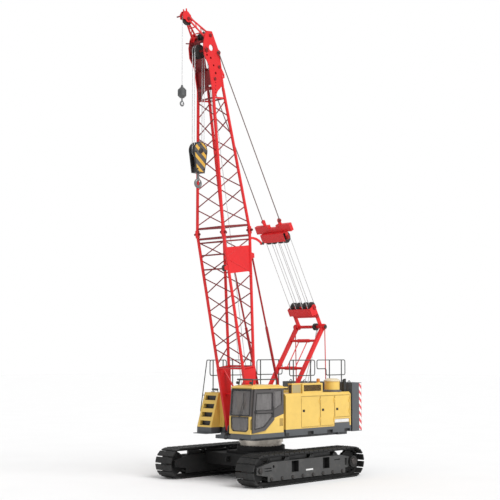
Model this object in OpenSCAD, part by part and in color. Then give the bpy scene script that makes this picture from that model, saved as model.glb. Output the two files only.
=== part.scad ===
// Crawler crane with a lattice boom, standing with the boom raised.
// Millimetres. The origin is on the ground under the slewing centre,
// +X points to the boom side, +Y to the cab side and +Z up.

/* [Tracks] */
// Length of each track over its shoes
track_len = 5500; // [5000:10:6200]
// Distance between the centre lines of the tracks
track_gauge = 3690; // [3500:10:4200]
// Width of a track shoe
shoe_w = 750; // [600:10:900]
// Height of each track over its shoes
track_h = 1000; // [940:10:1010]
// Number of shoes in each track
shoe_count = 50; // [44:2:56]
// Thickness of a track shoe
shoe_t = 40; // [30:1:50]
// Height of the track chain under the shoes
chain_t = 80; // [60:1:90]
// Width of the track chain
chain_w = 260; // [200:5:300]
// Width of each side frame
frame_w = 440; // [400:5:480]
// Lower rollers in each track
roller_count = 8; // [6:1:9]
// Radius of a lower roller
roller_r = 95; // [80:1:105]

/* [Car body] */
// Radius of the pedestal that carries the slewing ring
pedestal_r = 800; // [780:10:850]
// Height of the top of the pedestal
pedestal_top = 1060; // [1040:5:1080]
// Outer radius of the slewing ring
ring_r = 740; // [700:5:770]
// Bore radius of the slewing ring
ring_bore = 560; // [500:5:600]
// Radius of the hole in a tie-down eye
tie_hole_r = 35; // [25:1:40]

/* [Revolving frame] */
// Height of the underside of the deck
deck_low = 1300; // [1290:5:1330]
// Thickness of the deck
deck_t = 120; // [100:5:130]
// Half the width over the housings
house_half = 1610; // [1560:5:1680]
// Distance of the back wall of the housings behind the slewing centre
house_back = 2800; // [2700:10:2850]
// Height of the underside of the housings
house_low = 1660; // [1640:5:1680]
// Height of the housing roofs
house_top = 2800; // [2700:10:2850]
// Thickness of the housing walls and doors
wall = 40; // [30:1:45]
// Radius of the rear face of the counterweight about the slewing centre
tail_r = 3770; // [3700:10:3900]
// Height of the top of the counterweight
tail_top = 3100; // [2900:10:3200]

/* [Cab] */
// Length of the cab floor
cab_len = 1560; // [1500:10:1600]
// Height of the cab walls
cab_h = 1400; // [1340:10:1440]
// Rake of the windscreen, top to bottom
cab_rake = 90; // [60:5:120]
// Thickness of the cab walls
cab_wall = 50; // [40:1:55]

/* [Boom] */
// Angle of the boom above the horizontal
boom_angle = 82.5; // [78:0.5:83]
// Distance of the boom foot pin in front of the slewing centre
foot_x = 950; // [930:5:980]
// Height of the boom foot pin
foot_z = 1630; // [1620:5:1650]
// Length of the base section from its foot pin
base_len = 6500; // [6300:10:6700]
// Width of the boom at the section joint, between chord centres
joint_w = 1200; // [1140:10:1210]
// Depth of the boom at the section joint, between chord centres
joint_d = 1240; // [1160:10:1260]
// Diameter of a chord tube
chord_d = 98; // [90:1:110]
// Diameter of a lacing tube
lace_d = 40; // [38:1:54]
// Lacing bays in each section
bays = 7; // [6:1:8]

/* [Suspension] */
// Distance of the gantry top behind the slewing centre
gantry_x = 2550; // [2500:10:2600]
// Height of the gantry top
gantry_z = 5040; // [4900:10:5150]
// Distance from the gantry top to the bail sheaves
bail_at = 3490; // [3200:10:3800]
// Diameter of a pendant
pendant_d = 36; // [28:1:40]
// Diameter of the hoist and luffing ropes
rope_d = 22; // [18:1:26]

/* [Hooks] */
// Height of the main block's sheave pin with the hook as it hangs
block_z = 10620; // [9000:10:10800]
// Height of the middle of the hook weight as it hangs
ball_z = 12415; // [11500:10:12600]
// Half the height of the hook weight
ball_r = 165; // [120:5:170]

/* [Hidden] */
fit = 0.3;
fn = 48;
track_r = track_h / 2;
chain_ro = track_r - shoe_t;
chain_ri = chain_ro - chain_t;
axle_x = track_len / 2 - track_r;
loop_len = 4 * axle_x + 2 * PI * chain_ro;
pitch = loop_len / shoe_count;
wheel_r = chain_ri * cos(pitch / chain_ro * 90 / PI) - fit;
frame_y = track_gauge / 2;
frame_low = 2 * (track_r - chain_ri + roller_r) - (track_r - chain_ri) + 12;
frame_top = track_r + chain_ri - 135;
roller_z = track_r - chain_ri + roller_r + fit;
skirt_x = axle_x - wheel_r + 20;
beam_y = frame_y - frame_w / 2;
deck_top = deck_low + deck_t;
deck_half = 900;
sill_low = house_low - 210;
cross_top = house_low - 80;
chamfer = 70;
foothold_top = house_low + 265;
house_back_x = -house_back;
house_front_x = 550;
right_front_x = 1020;
house_in = 730;
door_low = house_low + 45;
door_top = house_top - 110;
door_gap = 6;
hinge_out = 16;
tail_front = house_back_x - 90;
cab_x0 = 670;
cab_x1 = cab_x0 + cab_len;
cab_y0 = 710;
cab_y1 = 1620;
cab_z0 = 1590;
cab_z1 = cab_z0 + cab_h;
door_y0 = cab_y1 + 8;
door_y1 = door_y0 + 42;
rail_low = 8;
roof_x = cab_x1 - cab_rake - 10;
roof_h = 115;
guard_d = 34;
guard_top = house_top + 1080;
guard_mid = house_top + 560;
u = [cos(boom_angle), 0, sin(boom_angle)];
n = [sin(boom_angle), 0, -cos(boom_angle)];
foot = [foot_x, 0, foot_z];
top_len = 13000 - 6500;
boom_len = base_len + top_len;
leg_len = 2000;
leg_d = 490;
leg_y = 570;
brace_s = 1150;
head_s = boom_len - 2100;
head_w = 690;
head_d = 470;
anchor = foot + (boom_len - 630) * u - 136 * n;
sheave_s = boom_len - 570;
sheave_n = 400;
groove = 205;
rim = 230;
head_pin = foot + sheave_s * u + sheave_n * n;
tip_s = boom_len + 470;
tip_n = 800;
tip_groove = 180;
tip_pin = foot + tip_s * u + tip_n * n;
gantry_foot = [-220, 0, 1760];
gantry_pin = [-gantry_x, 0, gantry_z];
gantry_v = gantry_pin - gantry_foot;
gantry_len = norm(gantry_v);
gantry_angle = atan2(gantry_v.z, gantry_v.x);
gantry_y = 600;
line_v = anchor - gantry_pin;
line_len = norm(line_v);
line_angle = atan2(line_v.z, line_v.x);
head_at = 760;
luff_groove = 180;
luff_rim = 200;
luff_y = [-400, -150, 150, 400];
pendant_y = 390;
lug_at = bail_at + 640;
stop_foot = [-650, 0, 2000];
stop_s = base_len - 850;
stop_off = 760;
stop_eye = foot + stop_s * u - stop_off * n;
stop_v = stop_eye - stop_foot;
stop_len = norm(stop_v);
stop_angle = atan2(stop_v.z, stop_v.x);
stop_y = 470;
tube_len = 3100;
tube_d = 92;
rod_d = 62;
eye_half = rod_d / 2 + 1;
eye_gap = 6;
pendant_half = pendant_d / 2 + 2;
fall_y = 52;
fall_off = groove + rope_d / 2 + fit;
aux_x = tip_pin.x + tip_groove + rope_d / 2 + fit;

red = "#d8261c";
yellow = "#f0b428";
grey = "#4a4b4d";
dark = "#2a2a2b";
steel = "#b5b8ba";
glass = "#7d8c92";

carbody();
slew_ring();
track_frame_left();
track_frame_right();
track_left();
track_right();
running_gear_left();
running_gear_right();
revolving_frame();
house_left();
house_right();
access_steps();
engine();
counterweight_base();
counterweight_blocks();
gantry_frame();
gantry_links();
winch_drums();
handrails();
roof_units();
exhaust();
cab_shell();
cab_roof();
cab_glazing();
operator_seat();
cab_door();
cab_door_glass();
left_door_front();
left_door_middle();
left_door_rear();
right_door_front();
right_door_rear();
boom_base();
boom_top();
boom_sheaves();
tip_jib();
gantry_head();
gantry_sheaves();
luffing_ropes();
bail();
bail_sheaves();
pendants();
backstop_tubes();
backstop_rods();
main_ropes();
main_block();
main_hook();
aux_rope();
aux_weight();
aux_hook();

// Shared shapes

// A flat shape drawn in X and Z, as thick as y0 to y1
module along_y(y0, y1) {
  translate([0, y1, 0]) rotate([90, 0, 0]) linear_extrude(y1 - y0) children();
}

// A round bar across the machine
module pin_y(x, z, r, y0, y1) {
  translate([x, y1, z]) rotate([90, 0, 0]) cylinder(h = y1 - y0, r = r, $fn = fn);
}

// A box from one corner to the other
module box(a, b) {
  translate(a) cube(b - a);
}

// A straight bar from p to q, turned about its own length
module bar(p, q, d, sides = fn, turn = 0) {
  v = q - p;
  l = norm(v);
  translate(p) rotate([0, acos(v.z / l), atan2(v.y, v.x)]) rotate([0, 0, turn])
    cylinder(h = l, d = d, $fn = sides);
}

// Both sides at once
module both() {
  children();
  mirror([0, 1, 0]) children();
}

// A frame lying along the boom: X up the boom, Z to its back
module at_boom() {
  translate(foot) rotate([0, -boom_angle, 0]) children();
}

// A frame lying along the luffing line from the gantry top
module at_line() {
  translate(gantry_pin) rotate([0, -line_angle, 0]) children();
}

// A frame lying along the gantry legs
module at_gantry() {
  translate(gantry_foot) rotate([0, -gantry_angle, 0]) children();
}

// A frame lying along the backstops
module at_stop() {
  translate(stop_foot) rotate([0, -stop_angle, 0]) children();
}

// A rope sheave on a bore, turning about Y
module sheave(r_out, r_groove, w, bore) {
  rotate([90, 0, 0])
    rotate_extrude($fn = fn)
      polygon([[bore, -w / 2], [r_out, -w / 2], [r_out, -w / 2 + 6], [r_groove, -w / 5],
        [r_groove, w / 5], [r_out, w / 2 - 6], [r_out, w / 2], [bore, w / 2]]);
}

// A hook with its bowl centred on the origin and its shank rising on Z
module hook(bowl, stock, shank_r, shank_top) {
  rotate([90, 0, 0])
    rotate([0, 0, 150])
      rotate_extrude(angle = 292, $fn = fn) translate([bowl, 0]) circle(r = stock, $fn = fn);
  translate([0, 0, bowl * 0.8]) cylinder(h = shank_top - bowl * 0.8, r = shank_r, $fn = fn);
}

// A place on the track loop, by distance along the chain, at radius r
function loop_at(a, r) =
  a < axle_x ? [a, -r] :
  a < axle_x + PI * chain_ro ?
    let(t = (a - axle_x) / chain_ro * 180 / PI) [axle_x + r * sin(t), -r * cos(t)] :
  a < 3 * axle_x + PI * chain_ro ? [2 * axle_x + PI * chain_ro - a, r] :
  a < 3 * axle_x + 2 * PI * chain_ro ?
    let(t = (a - 3 * axle_x - PI * chain_ro) / chain_ro * 180 / PI)
      [-axle_x - r * sin(t), r * cos(t)] :
  [a - loop_len, -r];

// Undercarriage

module carbody() {
  color(dark) difference() {
    union() {
      box([-850, -780, 430], [850, 780, 900]);
      translate([0, 0, 640]) cylinder(h = pedestal_top - 640, r = pedestal_r, $fn = fn);
      for (e = [-1, 1])
        translate([0, 0, 430]) linear_extrude(390)
          polygon([[e * 330, -700], [e * 420, -beam_y], [e * 980, -beam_y], [e * 1080, -700],
            [e * 1080, 700], [e * 980, beam_y], [e * 420, beam_y], [e * 330, 700]]);
      for (e = [-1, 1], s = [-1, 1])
        along_y(s * 420 - 30, s * 420 + 30) {
          translate([e * 1170, 640]) circle(r = 90, $fn = fn);
          translate([e * 1105 - 85, 550]) square([170, 180]);
        }
    }
    for (e = [-1, 1]) pin_y(e * 1170, 640, tie_hole_r, -500, 500);
  }
}

module slew_ring() {
  color(steel) difference() {
    union() {
      translate([0, 0, pedestal_top]) cylinder(h = 110, r = ring_r - 45, $fn = fn);
      translate([0, 0, pedestal_top + 100])
        cylinder(h = deck_low - pedestal_top - 100 - fit, r = ring_r, $fn = fn);
    }
    translate([0, 0, pedestal_top - 10]) cylinder(h = 400, r = ring_bore, $fn = fn);
  }
}

module track_frame_left() {
  color(dark) track_frame();
}

module track_frame_right() {
  color(dark) mirror([0, 1, 0]) track_frame();
}

module track_frame() {
  difference() {
    union() {
      along_y(frame_y - frame_w / 2, frame_y + frame_w / 2)
        polygon([[axle_x + 160, 400], [axle_x + 160, 600], [axle_x - 260, 690],
          [axle_x - 560, frame_top], [560 - axle_x, frame_top], [260 - axle_x, 690],
          [-axle_x - 160, 600], [-axle_x - 160, 400], [260 - axle_x, frame_low],
          [axle_x - 260, frame_low]]);
      for (e = [-1, 1]) {
        along_y(frame_y + e * (frame_w / 2 - 15) - 15, frame_y + e * (frame_w / 2 - 15) + 15)
          translate([-skirt_x, roller_z - 60]) square([2 * skirt_x, frame_low - roller_z + 70]);
        for (x = carrier_x)
          along_y(frame_y + e * 105 - 15, frame_y + e * 105 + 15)
            polygon([[x - 150, frame_top - 10], [x + 150, frame_top - 10], [x + 55, frame_top + 100],
              [x - 55, frame_top + 100]]);
      }
    }
    for (e = [-1, 1]) {
      translate([e * (axle_x + 300), frame_y, track_r])
        cube([2 * (300 + wheel_r + 45), 200, 900], center = true);
      pin_y(e * axle_x, track_r, 80 + fit, frame_y - frame_w, frame_y + frame_w);
    }
    for (i = [0 : roller_count - 1])
      pin_y(roller_x(i), roller_z, 28 + fit, frame_y - frame_w, frame_y + frame_w);
    for (x = carrier_x) pin_y(x, carrier_z(), 24 + fit, frame_y - 150, frame_y + 150);
    // slots and a hole in the outer plate near the idler
    for (z = [465, 545])
      translate([axle_x - 520, frame_y + frame_w / 2 - 60, z]) cube([330, 100, 36]);
    pin_y(axle_x - 610, 600, 48, frame_y + frame_w / 2 - 60, frame_y + frame_w);
    // slot and recess in front of the drive sprocket
    translate([620 - axle_x, frame_y + frame_w / 2 - 60, 590]) cube([300, 100, 40]);
    translate([260 - axle_x, frame_y + frame_w / 2 - 60, 400]) cube([110, 100, 230]);
    for (x = [620, -920])
      translate([x - 170, frame_y + frame_w / 2 - 200, frame_low + 40])
        cube([340, 300, frame_top - frame_low - 65]);
  }
}

function roller_x(i) = (2 * i / (roller_count - 1) - 1) * (skirt_x - 150);

function carrier_z() = track_r + chain_ri - 60 - fit;

carrier_x = [-1500, -300, 900];

module running_gear_left() {
  color(dark) running_gear();
}

module running_gear_right() {
  color(dark) mirror([0, 1, 0]) running_gear();
}

module running_gear() {
  // drive sprocket with its hub cap and motor
  difference() {
    union() {
      pin_y(-axle_x, track_r, wheel_r, frame_y - 60, frame_y + 60);
      pin_y(-axle_x, track_r, 80, frame_y - 330, frame_y + frame_w / 2 + 40);
      pin_y(-axle_x, track_r, 190, frame_y + frame_w / 2 + fit, frame_y + frame_w / 2 + 90);
      pin_y(-axle_x, track_r, 170, frame_y - frame_w / 2 - 150, frame_y - frame_w / 2 - fit);
    }
    for (i = [0 : 11])
      translate([-axle_x, frame_y, track_r]) rotate([0, i * 30, 0])
        pin_y(wheel_r + 20, 0, 52, -100, 100);
  }
  // idler
  pin_y(axle_x, track_r, wheel_r, frame_y - 70, frame_y + 70);
  pin_y(axle_x, track_r, 80, frame_y - frame_w / 2 - 25, frame_y + frame_w / 2 + 25);
  // lower rollers and carrier rollers
  for (i = [0 : roller_count - 1]) {
    pin_y(roller_x(i), roller_z, roller_r, frame_y - 140, frame_y + 140);
    pin_y(roller_x(i), roller_z, 28, frame_y - frame_w / 2 - 8, frame_y + frame_w / 2 + 8);
  }
  for (x = carrier_x) {
    pin_y(x, carrier_z(), 60, frame_y - 80, frame_y + 80);
    pin_y(x, carrier_z(), 24, frame_y - 125, frame_y + 125);
  }
}

module track_left() {
  color(dark) track(1);
}

module track_right() {
  color(dark) track(-1);
}

module track(side) {
  outer = [for (i = [0 : shoe_count - 1]) loop_at((i + 0.5) * pitch, chain_ro)];
  inner = [for (i = [0 : shoe_count - 1]) loop_at((i + 0.5) * pitch, chain_ri)];
  translate([0, side * frame_y, track_r]) rotate([90, 0, 0]) {
    linear_extrude(chain_w, center = true)
      polygon(concat(outer, inner), [[for (i = [0 : shoe_count - 1]) i],
        [for (i = [0 : shoe_count - 1]) shoe_count + i]]);
    for (i = [0 : shoe_count - 1]) {
      a = outer[i];
      b = outer[(i + 1) % shoe_count];
      w = norm(b - a) * 0.42;
      translate((a + b) / 2) rotate([0, 0, atan2(b.y - a.y, b.x - a.x)])
        linear_extrude(shoe_w, center = true)
          polygon([[-w, 6], [w, 6], [w, -shoe_t * 0.6], [w * 0.86, -shoe_t],
            [-w * 0.86, -shoe_t], [-w, -shoe_t * 0.6]]);
    }
  }
}

// Upper works

module revolving_frame() {
  color(grey) difference() {
    union() {
      box([house_back_x - 50, -deck_half, deck_low], [1250, deck_half, deck_top]);
      translate([0, 0, deck_low - 190]) cylinder(h = 200, r = ring_bore - fit, $fn = fn);
      // base of the cab
      box([cab_x0 - 40, cab_y0 + 20, sill_low], [cab_x1 - 40, cab_y1, cab_z0]);
      both() {
        box([house_back_x - 50, 440, deck_top - 10], [foot_x - 210, 660, 1600]);
        box([foot_x - 220, 440, deck_top - 10], [1250, 660, foot_z - 140]);
      }
      sills();
      // pulling eyes on the front edge of the deck
      both() along_y(345, 375) difference() {
        union() {
          translate([1310, deck_low + 80]) circle(r = 90, $fn = fn);
          translate([1230, deck_low + 10]) square([80, 100]);
        }
        translate([1320, deck_low + 80]) circle(r = 45, $fn = fn);
      }
      // tray under the counterweight
      box([-tail_r + 420, -1000, deck_low], [house_back_x - 40, 1000, deck_top + 20]);
      both() {
        for (y = [485, 625]) {
          along_y(y, y + 30) {
            translate([foot_x, foot_z]) circle(r = 130, $fn = fn);
            polygon([[foot_x - 190, deck_top - 20], [foot_x + 190, deck_top - 20],
              [foot_x + 115, foot_z + 30], [foot_x - 115, foot_z + 30]]);
          }
        }
        pin_y(foot_x, foot_z, 50, 486, 654);
        for (y = [505, 665])
          along_y(y, y + 30) {
            translate([gantry_foot.x, gantry_foot.z]) circle(r = 100, $fn = fn);
            translate([gantry_foot.x - 98, deck_top - 20]) square([196, gantry_foot.z - deck_top]);
          }
        pin_y(gantry_foot.x, gantry_foot.z, 40, 506, 694);
        along_y(640, 665) {
          translate([-2620, 1740]) circle(r = 90, $fn = fn);
          translate([-2620 - 88, deck_top - 20]) square([176, 1740 - deck_top]);
        }
        pin_y(-2620, 1740, 30, 641, 698);
        for (y = [stop_y - 52, stop_y + 30])
          along_y(y, y + 22) {
            translate([stop_foot.x, stop_foot.z]) circle(r = 75, $fn = fn);
            polygon([[stop_foot.x - 160, 1580], [stop_foot.x + 160, 1580],
              [stop_foot.x + 70, stop_foot.z + 10], [stop_foot.x - 70, stop_foot.z + 10]]);
          }
        pin_y(stop_foot.x, stop_foot.z, 30, stop_y - 51, stop_y + 51);
        for (x = winch_x)
          along_y(winch_y - 30, winch_y)
            polygon([[x - 330, deck_top - 10], [x + 330, deck_top - 10], [x + 120, winch_z + 120],
              [x - 120, winch_z + 120]]);
      }
    }
    for (x = winch_x) pin_y(x, winch_z, 60 + fit, -430, 430);
  }
}

winch_x = [300, -560, -1700];
winch_z = 1900;
winch_y = stop_y - tube_d / 2 - eye_gap;

// The sills that carry the housings, on cross members from the main beams
module sills() {
  difference() {
    union() {
      both() {
        box([house_back_x, house_half - 160, sill_low], [house_front_x, house_half, house_low]);
        box([house_back_x, house_in, sill_low], [house_front_x, house_in + 80, house_low]);
      }
      box([house_front_x - 20, -house_half, sill_low], [right_front_x, 160 - house_half, house_low]);
      box([house_front_x - 20, -house_in - 80, sill_low], [right_front_x, -house_in, house_low]);
      // raised part under the foot-hold
      along_y(house_half - wall * 0.7 + fit, house_half)
        polygon([[house_back_x + 62, house_low - 5], [-1909, house_low - 5], [-1928, house_low + 110],
          [house_back_x + 62, house_low + 110]]);
      // base of the access steps with its foot plate
      box([right_front_x - 20, -house_half, sill_low], [1420, -940, house_low]);
      box([1400, 20 - house_half, sill_low], [1620, -980, sill_low + 22]);
      for (x = cross_x) both() box([x - 70, 640, sill_low], [x + 70, house_half - 20, cross_top]);
      box([760, 640, sill_low], [900, cab_y0 + 40, cab_z0]);
      box([1120, 640, sill_low], [1245, cab_y0 + 40, foot_z - 140]);
      box([760, -house_half + 20, sill_low], [900, -640, cross_top]);
    }
    for (x = [-2600, -1680, -680])
      both() box([x - 150, house_half - 70, sill_low - 10], [x + 150, house_half + 10, sill_low + 110]);
  }
}

cross_x = [-2700, -1950, -1200, -450, 300];

// Door spans of the left and right housings, back edge first
left_spans = [[-2740, -1955], [-1905, -1205], [-1155, -225]];
right_spans = [[-1900, -975], [-925, 0]];

// Height of the lower edge of a left door; the rear one stops above the foot-hold
function left_low(i) = door_low + (i == 0 ? 260 : 0);

// A housing as far forward as x1, open below
module housing(x1) {
  difference() {
    house_block(house_back_x, x1, 0);
    house_block(house_back_x + wall, x1 - wall, wall);
  }
}

// The outside of a housing, drawn in by d, with its outer roof edge chamfered
module house_block(x0, x1, d) {
  c = chamfer + d * 0.41;
  translate([x0, 0, 0]) rotate([90, 0, 90]) linear_extrude(x1 - x0)
    polygon([[house_in + d, house_low - d], [house_half - d, house_low - d],
      [house_half - d, house_top - c], [house_half - c, house_top - d], [house_in + d, house_top - d]]);
}

module house_left() {
  color(yellow) {
    difference() {
      housing(house_front_x);
      // foot-hold under the rear door, where the sill rises
      along_y(house_half - wall * 0.7, house_half + 10)
        polygon([[house_back_x + 60, house_low - 10], [-1905, house_low - 10],
          [-1945, foothold_top - 25], [house_back_x + 60, foothold_top - 25]]);
      for (i = [0 : 2])
        box([left_spans[i][0], house_half - wall - 5, left_low(i)],
          [left_spans[i][1], house_half + 5, door_top]);
    }
    for (i = [0 : 2]) fixed_hinges(left_spans[i], left_low(i));
  }
}

// Heights of the two hinges of a door with its lower edge at low
function hinge_z(low) = [low + 120, door_top - 240];

// The fixed halves of a door's hinges, each one above the door's own barrel
module fixed_hinges(span, low) {
  x = span[0] + door_gap;
  for (z = hinge_z(low)) {
    translate([x, house_half + hinge_out, z + 100 + fit]) cylinder(h = 60, r = 12, $fn = fn);
    translate([0, 0, z + 100 + fit]) {
      box([x - 42, house_half - 5, 0], [span[0], house_half + 14, 60]);
      box([x - 42, house_half + 6, 0], [x, house_half + 14, 60]);
    }
  }
}

module house_right() {
  color(yellow) mirror([0, 1, 0]) {
    difference() {
      housing(right_front_x);
      for (span = right_spans)
        box([span[0], house_half - wall - 5, door_low], [span[1], house_half + 5, door_top]);
    }
    for (span = right_spans) fixed_hinges(span, door_low);
  }
}

// A house door with its hinge barrels on its back edge and a handle at its front edge
module house_door(span, low) {
  x0 = span[0] + door_gap;
  x1 = span[1] - door_gap;
  difference() {
    union() {
      box([x0, house_half - wall, low + door_gap], [x1, house_half, door_top - door_gap]);
      for (z = hinge_z(low)) {
        translate([x0, house_half + hinge_out, z]) cylinder(h = 100, r = 12, $fn = fn);
        box([x0 + 2, house_half - 5, z], [x0 + 42, house_half + 14, z + 100]);
      }
    }
    box([x1 - 170, house_half - 12, 2190], [x1 - 50, house_half + 10, 2270]);
  }
}

module left_door_rear() {
  color(yellow) house_door(left_spans[0], left_low(0));
}

module left_door_middle() {
  color(yellow) house_door(left_spans[1], left_low(1));
}

module left_door_front() {
  color(yellow) house_door(left_spans[2], left_low(2));
}

module right_door_rear() {
  color(yellow) mirror([0, 1, 0]) house_door(right_spans[0], door_low);
}

module right_door_front() {
  color(yellow) mirror([0, 1, 0]) house_door(right_spans[1], door_low);
}

module access_steps() {
  color(yellow) difference() {
    along_y(-house_half, -940)
      polygon([[right_front_x, house_low], [1420, house_low], [1060, house_top],
        [right_front_x, house_top]]);
    for (i = [0 : 3])
      translate([1420 - 360 * (i + 0.45) / 4, -1520, house_low + 60 + i * 275])
        translate([-130, 0, 0]) cube([400, 490, 150]);
  }
}

module engine() {
  color(grey) box([-2450, 850, cross_top], [-950, 1430, 2450]);
}

// The plan of the counterweight, with its rear face round the slewing centre
module tail_plan(y0, y1) {
  intersection() {
    circle(r = tail_r, $fn = 96);
    translate([-tail_r - 100, y0]) square([tail_r + 100 + tail_front, y1 - y0]);
  }
}

module counterweight_base() {
  color(grey) translate([0, 0, deck_top + 20]) linear_extrude(450)
    tail_plan(-house_half, house_half);
}

module counterweight_blocks() {
  color(grey) both()
    translate([0, 0, deck_top + 470]) linear_extrude(tail_top - deck_top - 470)
      tail_plan(15, house_half);
}

module gantry_frame() {
  color(red) at_gantry() difference() {
    union() {
      both() {
        along_y(gantry_y - 48, gantry_y + 48)
          polygon([[0, -50], [gantry_len, -72], [gantry_len, 72], [0, 50]]);
        pin_y(0, 0, 92, gantry_y - 60, gantry_y + 60);
        pin_y(gantry_len, 0, 105, gantry_y - 60, gantry_y + 60);
        // rods between the cross bars
        bar([gantry_len * 0.56, 190, 0], [gantry_len * 0.85, 190, 0], 36, 12);
      }
      pin_y(gantry_len, 0, 55, -705, 705);
      for (t = [0.56, 0.85]) {
        pin_y(gantry_len * t, 0, 45, -gantry_y, gantry_y);
        pin_y(gantry_len * t, 0, 62, -260, 260);
      }
    }
    pin_y(0, 0, 40 + fit, -800, 800);
  }
}

module gantry_links() {
  color(red) both() difference() {
    union() {
      bar([-gantry_x, 682, gantry_z], [-2620, 682, 1740], 34, 12);
      pin_y(-gantry_x, gantry_z, 95, 667, 697);
      pin_y(-2620, 1740, 65, 667, 697);
    }
    pin_y(-gantry_x, gantry_z, 55 + fit, 600, 750);
    pin_y(-2620, 1740, 30 + fit, 600, 750);
  }
}

module winch_drums() {
  color(steel) for (x = winch_x) {
    pin_y(x, winch_z, 60, -winch_y, winch_y);
    pin_y(x, winch_z, 250, 60 - winch_y, winch_y - 60);
    for (s = [-1, 1]) pin_y(x, winch_z, 350, s * (winch_y - 53) - 15, s * (winch_y - 53) + 15);
  }
}

// A guard-rail panel along X
module rail_panel(x0, x1, y) {
  for (z = [guard_mid, guard_top]) bar([x0, y, z], [x1, y, z], guard_d, 12);
  for (x = [x0, x1]) rail_end(x, y, guard_mid, guard_top);
}

// The upright at the end of a rail
module rail_end(x, y, z0, z1) {
  bar([x, y, z0 - 20], [x, y, z1 + 20], guard_d + 4, 12);
}

// A post of a guard rail, standing at the height low
module rail_post(x, y, low) {
  bar([x, y, low], [x, y, guard_top], guard_d + 8, 12);
}

module handrails() {
  y = 900;
  step = guard_mid + 220;
  side = -house_half - 40;
  color(grey) {
    rail_panel(-1740, -440, y);
    for (x = [-1520, -630]) rail_post(x, y, house_top);
    // the rear panel, stepped in front of its first post
    bar([-3390, y, guard_top], [-1860, y, guard_top], guard_d, 12);
    bar([-3390, y, guard_mid], [-2350, y, guard_mid], guard_d, 12);
    bar([-2350, y, step], [-1860, y, step], guard_d, 12);
    rail_end(-3390, y, guard_mid, guard_top);
    rail_end(-2350, y, guard_mid, step);
    rail_end(-1860, y, step, guard_top);
    rail_post(-2530, y, house_top);
    rail_post(-3190, y, tail_top);
    // right side
    rail_panel(-2740, -1400, -1500);
    rail_panel(-1280, 20, -1500);
    rail_panel(140, 930, -1500);
    for (x = [-2550, -1590, -1090, -170, 300, 780]) rail_post(x, -1500, house_top);
    // hand rail beside the access steps
    bar([1230, side, 2130], [1030, side, 3300], guard_d, 12);
    bar([1033, side, 3280], [930, side, guard_top], guard_d + 2, 12);
    bar([930, side - 18, guard_top], [930, -1500, guard_top], guard_d, 12);
    bar([1225, side, 2160], [1225, -house_half, 2160], guard_d - 6, 12);
    bar([1133, side, 2700], [990, side, 2700], guard_d - 6, 12);
    bar([995, side - 10, 2700], [995, -house_half, 2700], guard_d - 10, 12);
    // guard over the cab roof
    for (p = [[roof_x - 200, 860], [roof_x - 200, 1470], [cab_x0 + 180, 1470]])
      bar([p.x, p.y, cab_z1 + roof_h], [p.x, p.y, cab_z1 + 300], guard_d + 4, 12);
    bar([roof_x - 200, 780, cab_z1 + 290], [roof_x - 200, 1490, cab_z1 + 290], guard_d, 12);
    bar([roof_x - 200, 1470, cab_z1 + 290], [cab_x0 + 180, 1470, cab_z1 + 290], guard_d, 12);
  }
}

module roof_units() {
  color(yellow) translate([0, 0, house_top]) {
    // cover with a lid
    box([-330, 1330, 0], [110, 1490, 300]);
    box([-345, 1315, 290], [125, 1505, 325]);
    // air intake with slats on its outer side
    difference() {
      box([-1390, 1060, 0], [-360, 1535, 320]);
      box([-1330, 1475, 60], [-420, 1550, 265]);
    }
    for (i = [0 : 4])
      translate([-1340, 1470, 70 + i * 40]) rotate([90, 0, 90]) linear_extrude(930)
        polygon([[0, 18], [8, 26], [52, 8], [44, 0]]);
    // air cleaner on its dish
    translate([-2250, 1240, 0]) rotate_extrude($fn = fn)
      polygon([[0, 0], [320, 0], [320, 40], [262, 70], [262, 345], [285, 355], [285, 385], [170, 450],
        [0, 450]]);
    // beacon
    translate([-1300, 1420, 310]) rotate_extrude($fn = fn)
      polygon([[0, 0], [70, 0], [70, 35], [58, 40], [58, 130], [40, 155], [0, 160]]);
  }
}

module exhaust() {
  color(dark) translate([-2690, 1420, house_top]) difference() {
    union() {
      cylinder(h = 30, r = 90, $fn = fn);
      cylinder(h = 450, r = 66, $fn = fn);
    }
    translate([0, 0, 120]) cylinder(h = 400, r = 56, $fn = fn);
    translate([-90, -100, 450]) rotate([0, 25, 0]) cube([400, 200, 300]);
  }
}

// Cab

// Side view of the cab, drawn in by d from its outside
module cab_side(d) {
  polygon([[cab_x0 + d, cab_z0 + d], [cab_x1 - d, cab_z0 + d], [cab_x1 - d, cab_z0 + 470],
    [cab_x1 - cab_rake - d, cab_z1 - d], [cab_x0 + d, cab_z1 - d]]);
}

// Side view of the door opening
module doorway(d) {
  polygon([[cab_x0 + 520 - d, cab_z0 + 450 - d], [cab_x0 + 930 - d * 0.6, cab_z0 + 130 - d],
    [cab_x1 - 90 + d, cab_z0 + 60 - d], [cab_x1 - 90 + d, cab_z0 + 470],
    [cab_x1 - 90 - cab_rake + d, cab_z1 - 70 + d], [cab_x0 + 520 - d, cab_z1 - 70 + d]]);
}

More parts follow.
